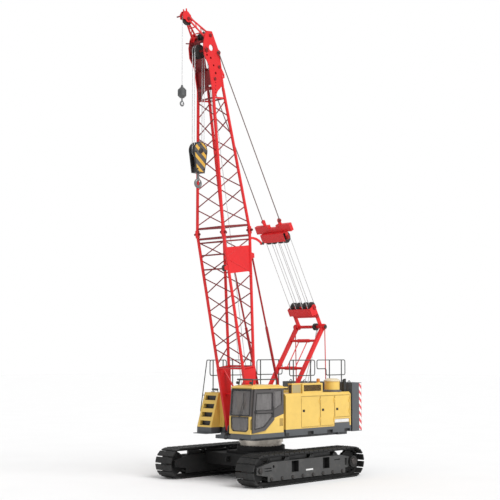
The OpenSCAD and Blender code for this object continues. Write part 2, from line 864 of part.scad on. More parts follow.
// The cab's window openings, drawn in by d
module cab_windows(d) {
  // upper and lower windscreen
  translate([cab_x1 - 300, 0, 0]) rotate([90, 0, 90]) linear_extrude(400) {
    round_low([cab_y0 + 55 + d, cab_z0 + 575 + d], [cab_y1 - 55 - d, cab_z1 - 45 - d], 30 - d);
    round_low([cab_y0 + 85 + d, cab_z0 + 85 + d], [cab_y1 - 85 - d, cab_z0 + 530 - d], 130 - d);
  }
  // right side
  box([cab_x0 + 420 + d, cab_y0 - 100, cab_z0 + 520 + d],
    [cab_x1 - 260 - d, cab_y0 + 100, cab_z1 - 90 - d]);
  // back
  box([cab_x0 - 100, cab_y0 + 140 + d, cab_z0 + 620 + d],
    [cab_x0 + 100, cab_y1 - 140 - d, cab_z1 - 110 - d]);
  // left quarter light, with its lower edge rising to the back
  along_y(cab_y1 - 100, cab_y1 + 100)
    polygon([[cab_x0 + 80 + d, cab_z0 + 880 + d], [cab_x0 + 440 - d, cab_z0 + 740 + d],
      [cab_x0 + 440 - d, cab_z1 - 70 - d], [cab_x0 + 80 + d, cab_z1 - 70 - d]]);
}

// A window between two corners, with its lower corners rounded
module round_low(a, b, r) {
  polygon(concat([b, [a.x, b.y]],
    [for (t = [180 : 15 : 270]) [a.x + r + r * cos(t), a.y + r + r * sin(t)]],
    [for (t = [270 : 15 : 360]) [b.x - r + r * cos(t), a.y + r + r * sin(t)]]));
}

module cab_shell() {
  color(yellow) difference() {
    along_y(cab_y0, cab_y1) cab_side(0);
    along_y(cab_y0 + cab_wall, cab_y1 - cab_wall) cab_room();
    along_y(cab_y1 - cab_wall - 10, cab_y1 + 10) doorway(0);
    cab_windows(0);
  }
}

// Side view of the room in the cab, open at the top
module cab_room() {
  polygon([[cab_x0 + cab_wall, cab_z0 + cab_wall], [cab_x1 - cab_wall, cab_z0 + cab_wall],
    [cab_x1 - cab_wall, cab_z0 + 470], [cab_x1 - cab_rake - cab_wall, cab_z1],
    [cab_x1 - cab_rake - cab_wall, cab_z1 + 100], [cab_x0 + cab_wall, cab_z1 + 100]]);
}

module cab_roof() {
  color(yellow) {
    intersection() {
      along_y(cab_y0 - 10, cab_y1 + 10)
        polygon([[cab_x0, cab_z1], [roof_x, cab_z1], [roof_x + 25, cab_z1 + 45],
          [roof_x - 30, cab_z1 + 85], [roof_x - 150, cab_z1 + roof_h],
          [cab_x0 + 130, cab_z1 + roof_h], [cab_x0, cab_z1 + 75]]);
      translate([cab_x0 - 10, 0, 0]) rotate([90, 0, 90]) linear_extrude(cab_len + 100)
        polygon([[cab_y0, cab_z1], [cab_y1, cab_z1], [cab_y1, cab_z1 + 60],
          [cab_y1 - 110, cab_z1 + roof_h], [cab_y0 + 110, cab_z1 + roof_h], [cab_y0, cab_z1 + 60]]);
    }
    // rail that the door hangs from
    box([cab_x0 - 140, cab_y1 - 20, cab_z1 + rail_low], [roof_x - 10, door_y1, cab_z1 + 45]);
  }
}

module cab_glazing() {
  color(glass) intersection() {
    difference() {
      along_y(cab_y0 + 20, cab_y1 - 20) cab_side(20);
      along_y(cab_y0 + 30, cab_y1 - 30) cab_side(30);
    }
    cab_windows(fit);
  }
}

module operator_seat() {
  color(dark) {
    box([1050, 960, cab_z0 + cab_wall], [1450, 1360, cab_z0 + 330]);
    box([1000, 930, cab_z0 + 320], [1520, 1390, cab_z0 + 450]);
    box([980, 950, cab_z0 + 440], [1100, 1370, cab_z0 + 1060]);
    box([1150, 800, cab_z0 + 440], [1600, 925, cab_z0 + 620]);
    box([1150, 1395, cab_z0 + 440], [1600, 1500, cab_z0 + 620]);
    box([1000, 800, cab_z0 + 340], [1520, 1500, cab_z0 + 445]);
  }
}

module cab_door() {
  color(grey) difference() {
    union() {
      along_y(door_y0, door_y1) doorway(30);
      // hangers that run under the top rail
      for (x = [cab_x0 + 560, cab_x1 - 260])
        box([x, door_y0 + 8, cab_z1 - 60], [x + 90, door_y1 - 8, cab_z1 + rail_low - fit]);
    }
    door_windows(0);
  }
}

// The door's upper and lower windows, drawn in by d
module door_windows(d) {
  along_y(door_y0 - 10, door_y1 + 10) {
    polygon([[cab_x0 + 590 + d, cab_z0 + 730 + d], [cab_x1 - 190 - d, cab_z0 + 730 + d],
      [cab_x1 - 160 - cab_rake - d, cab_z1 - 130 - d], [cab_x0 + 590 + d, cab_z1 - 130 - d]]);
    polygon([[cab_x0 + 590 + d, cab_z0 + 520 + d], [cab_x0 + 960 + d, cab_z0 + 220 + d],
      [cab_x1 - 165 - d, cab_z0 + 150 + d], [cab_x1 - 180 - d, cab_z0 + 640 - d],
      [cab_x0 + 590 + d, cab_z0 + 640 - d]]);
  }
}

module cab_door_glass() {
  color(glass) intersection() {
    box([cab_x0, door_y0 + 14, cab_z0], [cab_x1, door_y0 + 24, cab_z1]);
    door_windows(fit);
  }
}

// Boom

// A zigzag of lacing between two chords, a0 to a1 and b0 to b1
module lacing(a0, a1, b0, b1, first) {
  for (i = [0 : bays - 1]) {
    t0 = (i + 0.06) / bays;
    t1 = (i + 0.94) / bays;
    on_a = (i + first) % 2 == 0;
    p = on_a ? a0 + (a1 - a0) * t0 : b0 + (b1 - b0) * t0;
    q = on_a ? b0 + (b1 - b0) * t1 : a0 + (a1 - a0) * t1;
    bar(p, q, lace_d, 8);
  }
}

// Four chords with lacing on all four faces, from [s, half width, half depth] to the same
module lattice(from, to, lace_from, lace_to) {
  for (y = [-1, 1], z = [-1, 1]) chord(from, to, y, z, chord_d);
  for (k = [-1, 1]) {
    lacing(corner(lace_from, k, -1), corner(lace_to, k, -1), corner(lace_from, k, 1),
      corner(lace_to, k, 1), 0);
    lacing(corner(lace_from, -1, k), corner(lace_to, -1, k), corner(lace_from, 1, k),
      corner(lace_to, 1, k), 1);
  }
}

function corner(c, y, z) = [c.x, y * c.y, z * c.z];

// A tube at one corner of the boom
module chord(from, to, y, z, d) {
  bar(corner(from, y, z), corner(to, y, z), d, fn, atan2(y, -z));
}

// The section between two others, as far along as s
function between(a, b, s) = a + (b - a) * (s - a.x) / (b.x - a.x);

joint_c = [base_len, joint_w / 2, joint_d / 2];
leg_c = [leg_len - 60, leg_y, leg_d / 2];
head_c = [head_s + 300, head_w / 2, head_d / 2];

// A square frame of tubes round the chords
module ring_frame(c, d) {
  for (z = [-1, 1]) bar(corner(c, -1, z), corner(c, 1, z), d, 8);
  for (y = [-1, 1]) bar(corner(c, y, -1), corner(c, y, 1), d, 8);
}

module boom_base() {
  color(red) at_boom() difference() {
    union() {
      lattice(leg_c, between(leg_c, joint_c, base_len + 40), between(leg_c, joint_c, leg_len + 130),
        between(leg_c, joint_c, base_len - 240));
      ring_frame(between(leg_c, joint_c, base_len - 170), 70);
      ring_frame(between(leg_c, joint_c, leg_len + 40), 70);
      for (y = [-1, 1], z = [-1, 1])
        chord(between(leg_c, joint_c, base_len - 120), between(leg_c, joint_c, base_len + 40), y, z,
          chord_d + 44);
      both() {
        along_y(leg_y - 45, leg_y + 45) {
          circle(r = 110, $fn = fn);
          polygon([[0, -105], [leg_len, -leg_d / 2 - 48], [leg_len, leg_d / 2 + 48], [0, 105]]);
        }
        bar([brace_s + 15, 40, 0], [leg_len - 60, leg_y - 20, 0], 60, 8);
        // backstop bracket
        along_y(stop_y + eye_half + eye_gap, stop_y + eye_half + eye_gap + 25)
          polygon([[stop_s - 160, stop_z - 30], [stop_s + 160, stop_z - 30],
            [stop_s + 70, stop_off + 50], [stop_s - 70, stop_off + 50]]);
      }
      bar([brace_s, -leg_y, 0], [brace_s, leg_y, 0], 84, 8);
      bar([stop_s, -joint_w / 2, stop_z], [stop_s, joint_w / 2, stop_z], 90, 8);
      // blank panel on the left side, with rungs beside it on the front
      box([panel_s, panel_c.y - 7, -panel_c.z], [panel_s + 850, panel_c.y + 7, panel_c.z]);
      for (s = [panel_s + 170, panel_s + 640]) {
        c = between(leg_c, joint_c, s);
        bar(corner(c, -1, -1), corner(c, 1, -1), 50, 8);
      }
      rung_frame();
      // rope guide on the left rear chord
      along_y(joint_c.y - 16, joint_c.y + 12) translate([base_len - 300, joint_c.z])
        polygon([[-5, -30], [75, -30], [60, 130], [25, 280], [-45, 420], [-160, 560], [-225, 520],
          [-115, 385], [-52, 260], [-15, 120]]);
    }
    pin_y(0, 0, 50 + fit, -700, 700);
    box([base_len - fit, -joint_w, -joint_d], [base_len + 200, joint_w, joint_d]);
  }
}

stop_z = between(leg_c, joint_c, stop_s).z;
panel_s = base_len - 1350;
panel_c = between(leg_c, joint_c, panel_s + 425);

// The third frame below the section joint, on the front and both sides
module rung_frame() {
  c = between(leg_c, joint_c, base_len - 300);
  bar(corner(c, -1, -1), corner(c, 1, -1), 50, 8);
  for (y = [-1, 1]) bar(corner(c, y, -1), corner(c, y, 1), 50, 8);
}

module boom_top() {
  lo = between(joint_c, head_c, base_len - 40);
  color(red) at_boom() difference() {
    union() {
      lattice(lo, head_c, between(joint_c, head_c, base_len + 240),
        between(joint_c, head_c, head_s - 60));
      ring_frame(between(joint_c, head_c, base_len + 170), 70);
      ring_frame(between(joint_c, head_c, head_s - 20), 60);
      for (y = [-1, 1], z = [-1, 1])
        chord(lo, between(joint_c, head_c, base_len + 120), y, z, chord_d + 44);
      both() {
        along_y(head_w / 2 - 20, head_w / 2 + 15)
          polygon([[head_s + 440, 262], [head_s + 1130, 230], [head_s + 1480, 200],
            [head_s + 1950, 20], [boom_len + 60, -60], [boom_len + 60, -300],
            [boom_len - 150, -420], [boom_len - 400, -500], [boom_len - 740, -500],
            [boom_len - 1050, -330], [head_s - 40, -270], [head_s - 60, -200], [head_s + 200, -40]]);
        // stiffener up the rear edge of each side plate
        bar([head_s + 260, head_w / 2, head_d / 2 + 2], [head_s + 900, head_w / 2 - 3, 205], 84);
        along_y(head_w / 2 - 20, head_w / 2 + 15)
          translate([boom_len - 630, 136]) circle(r = 110, $fn = fn);
      }
      pin_y(sheave_s, -sheave_n, 45, -head_w / 2, head_w / 2);
      pin_y(boom_len - 80, -150, 40, -head_w / 2, head_w / 2);
      pin_y(head_s + 1000, 120, 50, -head_w / 2, head_w / 2);
      pin_y(head_s + 600, -120, 50, -head_w / 2, head_w / 2);
      pin_y(boom_len - 260, -330, 36, -head_w / 2, head_w / 2);
      // plate and rope roller between the front edges of the side plates
      box([head_s + 420, 15 - head_w / 2, -235], [head_s + 900, head_w / 2 - 15, -215]);
      pin_y(head_s + 300, -255, 20, 5 - head_w / 2, head_w / 2 - 5);
      pin_y(head_s + 300, -255, 55, 70 - head_w / 2, head_w / 2 - 70);
      // ears behind the head
      both() along_y(head_w / 2 - 20, head_w / 2 + 15)
        polygon([[boom_len - 1500, 180], [boom_len - 1030, 180], [boom_len - 1330, 340],
          [boom_len - 1450, 340]]);
    }
    pin_y(boom_len - 485, -165, 100, -500, 500);
    pin_y(boom_len - 735, -385, 38, -500, 500);
    pin_y(boom_len - 825, -225, 42, -500, 500);
    pin_y(boom_len - 1060, -120, 36, -500, 500);
    pin_y(boom_len - 1310, -60, 42, -500, 500);
    pin_y(boom_len - 1390, 285, 26, -500, 500);
    box([base_len - 200, -joint_w, -joint_d], [base_len + fit, joint_w, joint_d]);
  }
}

module boom_sheaves() {
  color(dark) at_boom() {
    for (y = [-fall_y, fall_y])
      translate([sheave_s, y, -sheave_n]) sheave(rim, groove, 56, 45 + fit);
    for (y = [-fall_y, fall_y])
      translate([boom_len - 80, y, -150]) sheave(170, 150, 50, 40 + fit);
    translate([tip_s, 0, -tip_n]) sheave(tip_groove + 25, tip_groove, 56, 35 + fit);
  }
}

module tip_jib() {
  low = [[boom_len - 120, head_w / 2 - 60, -345], [tip_s - 60, 75, -tip_n + 40]];
  high = [[boom_len + 20, head_w / 2 - 60, -200], [tip_s + 40, 75, -tip_n + 60]];
  color(red) at_boom() {
    both() {
      along_y(head_w / 2 - 50, head_w / 2 - 20 - fit)
        polygon([[boom_len - 200, -280], [boom_len + 50, -140], [boom_len + 50, -290],
          [boom_len - 60, -380], [boom_len - 200, -380]]);
      bar(low[0], low[1], 60, 8);
      bar(high[0], high[1], 60, 8);
      for (t = [0.2, 0.5])
        bar(low[0] + (low[1] - low[0]) * t, high[0] + (high[1] - high[0]) * (t + 0.2), 30, 8);
      along_y(50, 80) {
        translate([tip_s, -tip_n]) circle(r = 120, $fn = fn);
        polygon([[tip_s - 70, 130 - tip_n], [tip_s + 110, 130 - tip_n], [tip_s + 235, 10 - tip_n],
          [tip_s + 235, -140 - tip_n], [tip_s + 130, -225 - tip_n], [tip_s - 20, -225 - tip_n]]);
        polygon([[tip_s + 200, -20 - tip_n], [tip_s + 200, -70 - tip_n], [tip_s + 325, -60 - tip_n],
          [tip_s + 325, -30 - tip_n]]);
      }
    }
    // hood over the sheave
    box([tip_s + 215, -60, -140 - tip_n], [tip_s + 235, 60, 10 - tip_n]);
    for (t = [0.25, 0.6]) {
      c = low[0] + (low[1] - low[0]) * t;
      bar(c, [c.x, -c.y, c.z], 40, 8);
    }
    pin_y(tip_s, -tip_n, 35, -70, 70);
  }
}

// Suspension

module gantry_head() {
  color(red) at_line() difference() {
    union() {
      both() along_y(492, 524) {
        circle(r = 100, $fn = fn);
        translate([0, -80]) square([head_at, 160]);
        translate([head_at, 0]) circle(r = 110, $fn = fn);
        polygon([[head_at - 260, -70], [head_at - 210, -cover_n - 22], [head_at + 60, -cover_n - 22],
          [head_at + 80, -70]]);
      }
      pin_y(head_at, 0, 45, -520, 520);
      pin_y(head_at - 330, 0, 60, -510, 510);
      // cover in front of the sheaves
      box([head_at - 205, -500, -cover_n - 20], [head_at + 55, 500, -cover_n]);
    }
    pin_y(0, 0, 55 + fit, -600, 600);
  }
}

cover_n = luff_rim + 18;

module gantry_sheaves() {
  color(dark) at_line()
    for (y = luff_y) translate([head_at, y, 0]) sheave(luff_rim, luff_groove, 60, 45 + fit);
}

module luffing_ropes() {
  off = luff_groove + rope_d / 2 + fit;
  color(steel) at_line()
    for (y = luff_y, e = [-1, 1])
      bar([head_at, y, e * off], [bail_at, y, e * off], rope_d, 12);
}

module bail() {
  color(red) at_line() difference() {
    union() {
      box([bail_at + 225, -800, -70], [bail_at + 500, 800, 70]);
      // cover over the sheaves
      box([bail_at + 225, -520, -cover_n - 20], [bail_at + 245, 520, -60]);
      box([bail_at - 60, -520, -cover_n - 20], [bail_at + 245, 520, -cover_n]);
      pin_y(bail_at, 0, 45, -500, 500);
      both() for (y = [65, 215, 315, 465])
        box([bail_at - 70, y, -70], [bail_at + 230, y + 20, 70]);
      both() {
        along_y(pendant_y - pendant_half - 30, pendant_y - pendant_half - fit) {
          translate([lug_at, 0]) circle(r = 75, $fn = fn);
          translate([bail_at + 480, -70]) square([lug_at - bail_at - 480, 140]);
        }
        pin_y(lug_at, 0, 26, pendant_y - 40, pendant_y + pendant_half);
      }
    }
    box([bail_at + 400, -180, -100], [bail_at + 600, 180, 100]);
  }
}

module bail_sheaves() {
  color(dark) at_line()
    for (y = luff_y) translate([bail_at, y, 0]) sheave(luff_rim, luff_groove, 60, 45 + fit);
}

module pendants() {
  color(dark) at_line() both() difference() {
    union() {
      bar([lug_at + 40, pendant_y, 0], [line_len - 40, pendant_y, 0], pendant_d, 12);
      pin_y(lug_at, 0, 60, pendant_y - pendant_half, pendant_y + pendant_half);
      pin_y(line_len, 0, 60, pendant_y - pendant_half, pendant_y + pendant_half);
    }
    pin_y(lug_at, 0, 26 + fit, pendant_y - 50, pendant_y + 50);
  }
}

module backstop_tubes() {
  color(red) at_stop() both() difference() {
    union() {
      bar([40, stop_y, 0], [190, stop_y, 0], 46);
      bar([170, stop_y, 0], [tube_len, stop_y, 0], tube_d);
      pin_y(0, 0, 70, stop_y - 25, stop_y + 25);
    }
    pin_y(0, 0, 30 + fit, stop_y - 100, stop_y + 100);
    bar([1350, stop_y, 0], [tube_len + 50, stop_y, 0], rod_d + 2 * fit);
  }
}

module backstop_rods() {
  color(red) at_stop() both() {
    bar([1500, stop_y, 0], [stop_len - 30, stop_y, 0], rod_d);
    pin_y(stop_len, 0, 66, stop_y - eye_half, stop_y + eye_half);
  }
}

// Hooks

module main_ropes() {
  color(steel)
    for (y = [-fall_y, fall_y], e = [-1, 1])
      bar([head_pin.x + e * fall_off, y, block_z], [head_pin.x + e * fall_off, y, head_pin.z],
        rope_d, 12);
}

module main_block() {
  color(dark) translate([head_pin.x, 0, block_z]) difference() {
    union() {
      both() along_y(86, 126) {
        circle(r = 300, $fn = fn);
        polygon([[-300, 0], [300, 0], [180, -720], [-180, -720]]);
      }
      pin_y(0, 0, 45, -100, 100);
      box([-150, -90, -720], [150, 90, -520]);
      for (y = [-fall_y, fall_y]) translate([0, y, 0]) sheave(rim, groove, 56, 40);
    }
    translate([0, 0, -750]) cylinder(h = 190, r = 40 + fit, $fn = fn);
  }
}

module main_hook() {
  color(dark) translate([head_pin.x, 0, block_z - 1055]) hook(110, 46, 40, 480);
}

module aux_rope() {
  color(steel) bar([aux_x, 0, ball_z + ball_r + 90], [aux_x, 0, tip_pin.z], rope_d, 12);
}

module aux_weight() {
  r = ball_r * 0.84;
  bore = 24 + fit;
  color(dark) translate([aux_x, 0, ball_z]) rotate_extrude($fn = fn)
    polygon([[bore, -ball_r], [r * 0.5, -ball_r], [r, -ball_r * 0.55], [r, ball_r * 0.55],
      [r * 0.5, ball_r], [46, ball_r + 12], [26, ball_r + 90 - fit], [0, ball_r + 90 - fit],
      [0, 90 - ball_r], [bore, 90 - ball_r]]);
}

module aux_hook() {
  color(dark) translate([aux_x, 0, ball_z - ball_r - 190]) hook(65, 26, 24, 265);
}
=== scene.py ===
from math import cos, pi, radians, sin

import bmesh
import bpy
from mathutils import Matrix, Vector


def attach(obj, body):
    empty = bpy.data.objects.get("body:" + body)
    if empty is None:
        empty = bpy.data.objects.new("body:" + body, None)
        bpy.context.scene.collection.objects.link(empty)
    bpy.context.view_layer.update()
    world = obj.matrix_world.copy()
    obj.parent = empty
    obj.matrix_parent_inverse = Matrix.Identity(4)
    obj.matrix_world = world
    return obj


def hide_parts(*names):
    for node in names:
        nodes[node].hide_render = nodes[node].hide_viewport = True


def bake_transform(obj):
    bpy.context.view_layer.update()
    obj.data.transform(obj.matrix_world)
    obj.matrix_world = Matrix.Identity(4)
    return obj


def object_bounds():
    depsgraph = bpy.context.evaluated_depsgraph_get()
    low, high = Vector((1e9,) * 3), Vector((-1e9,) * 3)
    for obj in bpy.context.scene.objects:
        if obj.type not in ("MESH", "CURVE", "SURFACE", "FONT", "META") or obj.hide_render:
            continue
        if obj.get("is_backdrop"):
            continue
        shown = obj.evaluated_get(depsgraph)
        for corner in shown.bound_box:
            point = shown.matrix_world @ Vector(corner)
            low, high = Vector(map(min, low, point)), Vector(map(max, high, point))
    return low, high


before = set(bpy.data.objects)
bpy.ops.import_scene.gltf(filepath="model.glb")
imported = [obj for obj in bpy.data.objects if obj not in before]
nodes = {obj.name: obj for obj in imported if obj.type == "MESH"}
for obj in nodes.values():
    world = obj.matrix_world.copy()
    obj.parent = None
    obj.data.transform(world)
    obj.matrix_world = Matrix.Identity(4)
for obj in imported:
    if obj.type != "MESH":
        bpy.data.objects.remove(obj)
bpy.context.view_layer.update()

V = Vector
X, Y, Z = V((1, 0, 0)), V((0, 1, 0)), V((0, 0, 1))
SIDES = (-1, 1)

# Places shared with the solids, in metres
# The boom's direction, its front and its foot pin
ANGLE = radians(82.5)
U = V((cos(ANGLE), 0, sin(ANGLE)))
N = V((sin(ANGLE), 0, -cos(ANGLE)))
FOOT = V((0.95, 0, 1.63))


def boom(s, y, n):
    """A place on the boom: s up it, y across, n to its front."""
    return FOOT + U * s + N * n + Y * y


# Head sheaves, tip sheave, guide sheaves and the pendants' pins on the boom
HEAD = boom(12.43, 0, 0.40)
TIP = boom(13.47, 0, 0.80)
TOP = boom(12.92, 0, 0.15)
ANCHOR = boom(12.37, 0, -0.136)
# Inner and outer faces of the side plates at the boom's head
PLATE_IN, PLATE_OUT = 0.325, 0.36

# The luffing line, from the gantry's top to the pendants' pins
GANTRY = V((-2.55, 0, 5.04))
LINE = (ANCHOR - GANTRY).normalized()
OUT = V((-LINE.z, 0, LINE.x))
GANTRY_SHEAVES, BAIL_SHEAVES = 0.76, 3.49


def line(a, y, n):
    """A place on the luffing line: a along it, y across, n off it."""
    return GANTRY + LINE * a + Y * y + OUT * n


# Rope: its own radius, and the radius of its centre line on each kind of sheave
ROPE = 0.011
ON_HEAD, ON_TIP, ON_GUIDE, ON_LUFFING = 0.2163, 0.1913, 0.161, 0.1913
# Where the sheaves stand across the machine
FALL_Y = (-0.052, 0.052)
LUFFING_Y = (-0.4, -0.15, 0.15, 0.4)
GANTRY_GUIDE_Y = (0.24, 0.30)
# Heights of the block's sheaves and of the auxiliary rope's end, and that rope's x
BLOCK_Z, WEIGHT_Z = 10.62, 12.67
AUX = TIP.x + ON_TIP
DRUM_X, DRUM_Z = (0.3, -0.56, -1.7), 1.9

# Undercarriage: wheel axles, centre line of the chain, side frames and track rollers
CHAIN, AXLE, SHOES = 0.46, 2.25, 50
AXLE_Z, TRACK_Y = 0.5, 1.845
FRAME_FACE = 2.065
ROLLER_X = [(2 * i / 7 - 1) * (AXLE - 0.508) for i in range(8)]
ROLLER_Z = 0.2153
# Upper works: outer faces of the house doors, the cab's left wall and the cab door, and the
# tops of the housings and of the counterweight
HOUSE_Y, CAB_Y, DOOR_Y = 1.6, 1.62, 1.67
ROOF_Z, WEIGHT_TOP = 2.8, 3.1


# Materials

def material(name):
    """A new material, with its node tree and its shader."""
    m = bpy.data.materials.new(name)
    m.use_nodes = True
    t = m.node_tree
    t.nodes.clear()
    out = t.nodes.new("ShaderNodeOutputMaterial")
    b = t.nodes.new("ShaderNodeBsdfPrincipled")
    t.links.new(b.outputs[0], out.inputs[0])
    return m, t, b


def feed(t, socket, value):
    """Links an input to another node's output, or sets its value."""
    if isinstance(value, bpy.types.NodeSocket):
        t.links.new(value, socket)
    else:
        socket.default_value = value


def node(t, kind, **inputs):
    n = t.nodes.new(kind)
    for k, v in inputs.items():
        feed(t, n.inputs[k], v)
    return n


def noise(t, where, scale, detail=4.0, rough=0.6):
    n = node(t, "ShaderNodeTexNoise", Vector=where, Scale=scale, Detail=detail, Roughness=rough)
    return n.outputs[0]


def spread(t, value, a, b, low, high):
    """Maps a to b onto low to high, and holds the ends."""
    n = node(t, "ShaderNodeMapRange", Value=value)
    for socket, v in zip(n.inputs[1:5], (a, b, low, high)):
        socket.default_value = v
    return n.outputs[0]


def calc(t, kind, a, b=0.0):
    n = t.nodes.new("ShaderNodeMath")
    n.operation = kind
    for socket, v in zip(n.inputs, (a, b)):
        feed(t, socket, v)
    return n.outputs[0]


def times(t, *factors):
    product = factors[0]
    for f in factors[1:]:
        product = calc(t, "MULTIPLY", product, f)
    return product


def dot(t, a, b):
    n = t.nodes.new("ShaderNodeVectorMath")
    n.operation = "DOT_PRODUCT"
    for socket, v in zip(n.inputs, (a, b)):
        feed(t, socket, v)
    return n.outputs["Value"]


def mixed(t, fac, a, b):
    """A mix of two colours."""
    n = t.nodes.new("ShaderNodeMix")
    n.data_type = "RGBA"
    for socket, v in ((n.inputs[0], fac), (n.inputs[6], a), (n.inputs[7], b)):
        feed(t, socket, (*v, 1) if isinstance(v, tuple) else v)
    return n.outputs[2]


def tint(col, k, add=0.0):
    """A colour made darker or lighter."""
    return tuple(min(1.0, c * k + add) for c in col)


def place(t):
    return t.nodes.new("ShaderNodeTexCoord").outputs["Object"]


def edge_wear_and_highlight(t, radius):
    """How far a spot is rounded over a sharp edge: 0 on a flat, rising along edges. It places edge
    wear and painted highlights.
    """
    bev = node(t, "ShaderNodeBevel", Radius=radius)
    bev.samples = 3
    flat = t.nodes.new("ShaderNodeNewGeometry").outputs["True Normal"]
    return spread(t, dot(t, bev.outputs[0], flat), 0.985, 0.72, 0.0, 1.0)


def gloss(t, b, pattern, low, high):
    """Roughness that wanders between two values."""
    feed(t, b.inputs["Roughness"], spread(t, pattern, 0.3, 0.7, low, high))


def emboss(t, b, strength, distance, height):
    bump = node(t, "ShaderNodeBump", Strength=strength, Distance=distance, Height=height)
    feed(t, b.inputs["Normal"], bump.outputs[0])


def paint(name, col, rough, worn=(0.20, 0.19, 0.18), wear=0.55, dirt=(0.10, 0.085, 0.07),
          grime=0.16, coat=0.25, second=None, where=None, shine=0.5):
    """Sprayed paint: slight cloudiness, dust in patches, worn edges that are partly a painted
    highlight, orange peel. A second colour goes where a mask says."""
    m, t, b = material(name)
    p = place(t)
    cloud = spread(t, noise(t, p, 1.3, 5.0), 0.3, 0.75, 0.0, 1.0)
    shade = mixed(t, cloud, tint(col, 0.90), tint(col, 1.05))
    if second:
        shade = mixed(t, where(t), shade, second)
    dust = times(t, spread(t, noise(t, p, 3.1, 7.0, 0.68), 0.50, 0.78, 0.0, 1.0), grime)
    shade = mixed(t, dust, shade, dirt)
    rub = times(t, edge_wear_and_highlight(t, 0.012), spread(t, noise(t, p, 9.0, 6.0, 0.7), 0.42, 0.62, 0.0, wear))
    feed(t, b.inputs["Base Color"], mixed(t, rub, shade, worn))
    gloss(t, b, noise(t, p, 5.0, 5.0), rough - 0.08, rough + 0.12)
    emboss(t, b, 0.10, 0.002, noise(t, p, 160.0, 2.0))
    b.inputs["Specular IOR Level"].default_value = shine
    b.inputs["Coat Weight"].default_value = coat
    b.inputs["Coat Roughness"].default_value = 0.18
    return m


def metal(name, col, rough, metallic, rust, amount, scale=4.0):
    """Bare or oiled steel with stains, and edges brightened by wear and a painted highlight."""
    m, t, b = material(name)
    p = place(t)
    tone = mixed(t, spread(t, noise(t, p, scale, 6.0), 0.3, 0.7, 0.0, 1.0),
                 tint(col, 0.78), tint(col, 1.12))
    stain = times(t, spread(t, noise(t, p, scale * 2.7, 8.0, 0.7), 0.52, 0.72, 0.0, 1.0), amount)
    tone = mixed(t, stain, tone, rust)
    rub = times(t, edge_wear_and_highlight(t, 0.010), spread(t, noise(t, p, 12.0, 4.0), 0.35, 0.6, 0.0, 0.7))
    feed(t, b.inputs["Base Color"], mixed(t, rub, tone, tint(col, 1.9, 0.05)))
    gloss(t, b, noise(t, p, scale * 1.9, 5.0), rough - 0.1, rough + 0.15)
    emboss(t, b, 0.18, 0.003, noise(t, p, 70.0, 4.0))
    b.inputs["Metallic"].default_value = metallic
    return m


def rubber(name, col=(0.015, 0.015, 0.016), rough=0.6):
    """Rubber, plastic or cloth, dull and finely grained."""
    m, t, b = material(name)
    p = place(t)
    tone = mixed(t, noise(t, p, 6.0, 5.0), tint(col, 0.7), tint(col, 1.6))
    feed(t, b.inputs["Base Color"], tone)
    gloss(t, b, noise(t, p, 14.0), rough - 0.1, rough + 0.15)
    emboss(t, b, 0.2, 0.002, noise(t, p, 120.0, 3.0))
    return m


def pane(name, col, alpha):
    """Tinted glazing with faint dust streaks."""
    m, t, b = material(name)
    p = place(t)
    streak = node(t, "ShaderNodeMapping", Vector=p, Scale=(3.0, 3.0, 0.6))
    film = spread(t, noise(t, streak.outputs[0], 4.0, 6.0), 0.4, 0.8, 0.0, 0.35)
    feed(t, b.inputs["Base Color"], mixed(t, film, col, (0.42, 0.41, 0.40)))
    gloss(t, b, noise(t, p, 7.0), 0.03, 0.12)
    b.inputs["Alpha"].default_value = alpha
    b.inputs["Specular IOR Level"].default_value = 0.7
    emboss(t, b, 0.04, 0.004, noise(t, p, 3.0))
    return m


def striped(name, first, second, direction, period, share=0.5):
    """Two colours in slanting bands, the first on a share of each, worn through in spots."""
    m, t, b = material(name)
    p = place(t)
    phase = calc(t, "FRACT", dot(t, p, V(direction) / period))
    tone = mixed(t, spread(t, phase, share - 0.01, share + 0.01, 0.0, 1.0), first, second)
    rub = times(t, spread(t, noise(t, p, 11.0, 7.0, 0.7), 0.55, 0.7, 0.0, 1.0), 0.3)
    feed(t, b.inputs["Base Color"], mixed(t, rub, tone, (0.2, 0.19, 0.18)))
    gloss(t, b, noise(t, p, 8.0), 0.35, 0.55)
    emboss(t, b, 0.08, 0.002, noise(t, p, 140.0, 2.0))
    return m


def wire(name, col, scale):
    """Stranded steel rope, oiled."""
    m, t, b = material(name)
    p = place(t)
    lay = node(t, "ShaderNodeTexWave", Vector=p, Scale=scale, Distortion=1.5)
    lay.bands_direction = "DIAGONAL"
    feed(t, b.inputs["Base Color"], mixed(t, lay.outputs["Fac"], tint(col, 0.75), col))
    gloss(t, b, noise(t, p, 20.0), 0.35, 0.6)
    emboss(t, b, 0.4, 0.003, lay.outputs["Fac"])
    b.inputs["Metallic"].default_value = 0.7
    return m


def lamp_glass(name, col, glow):
    """A lamp's lens, glowing faintly."""
    m, t, b = material(name)
    p = place(t)
    feed(t, b.inputs["Base Color"], mixed(t, noise(t, p, 30.0, 3.0), tint(col, 0.75), col))
    gloss(t, b, noise(t, p, 60.0), 0.08, 0.2)
    b.inputs["Emission Color"].default_value = (*col, 1)
    b.inputs["Emission Strength"].default_value = glow
    emboss(t, b, 0.3, 0.003, noise(t, p, 90.0, 1.0))
    return m


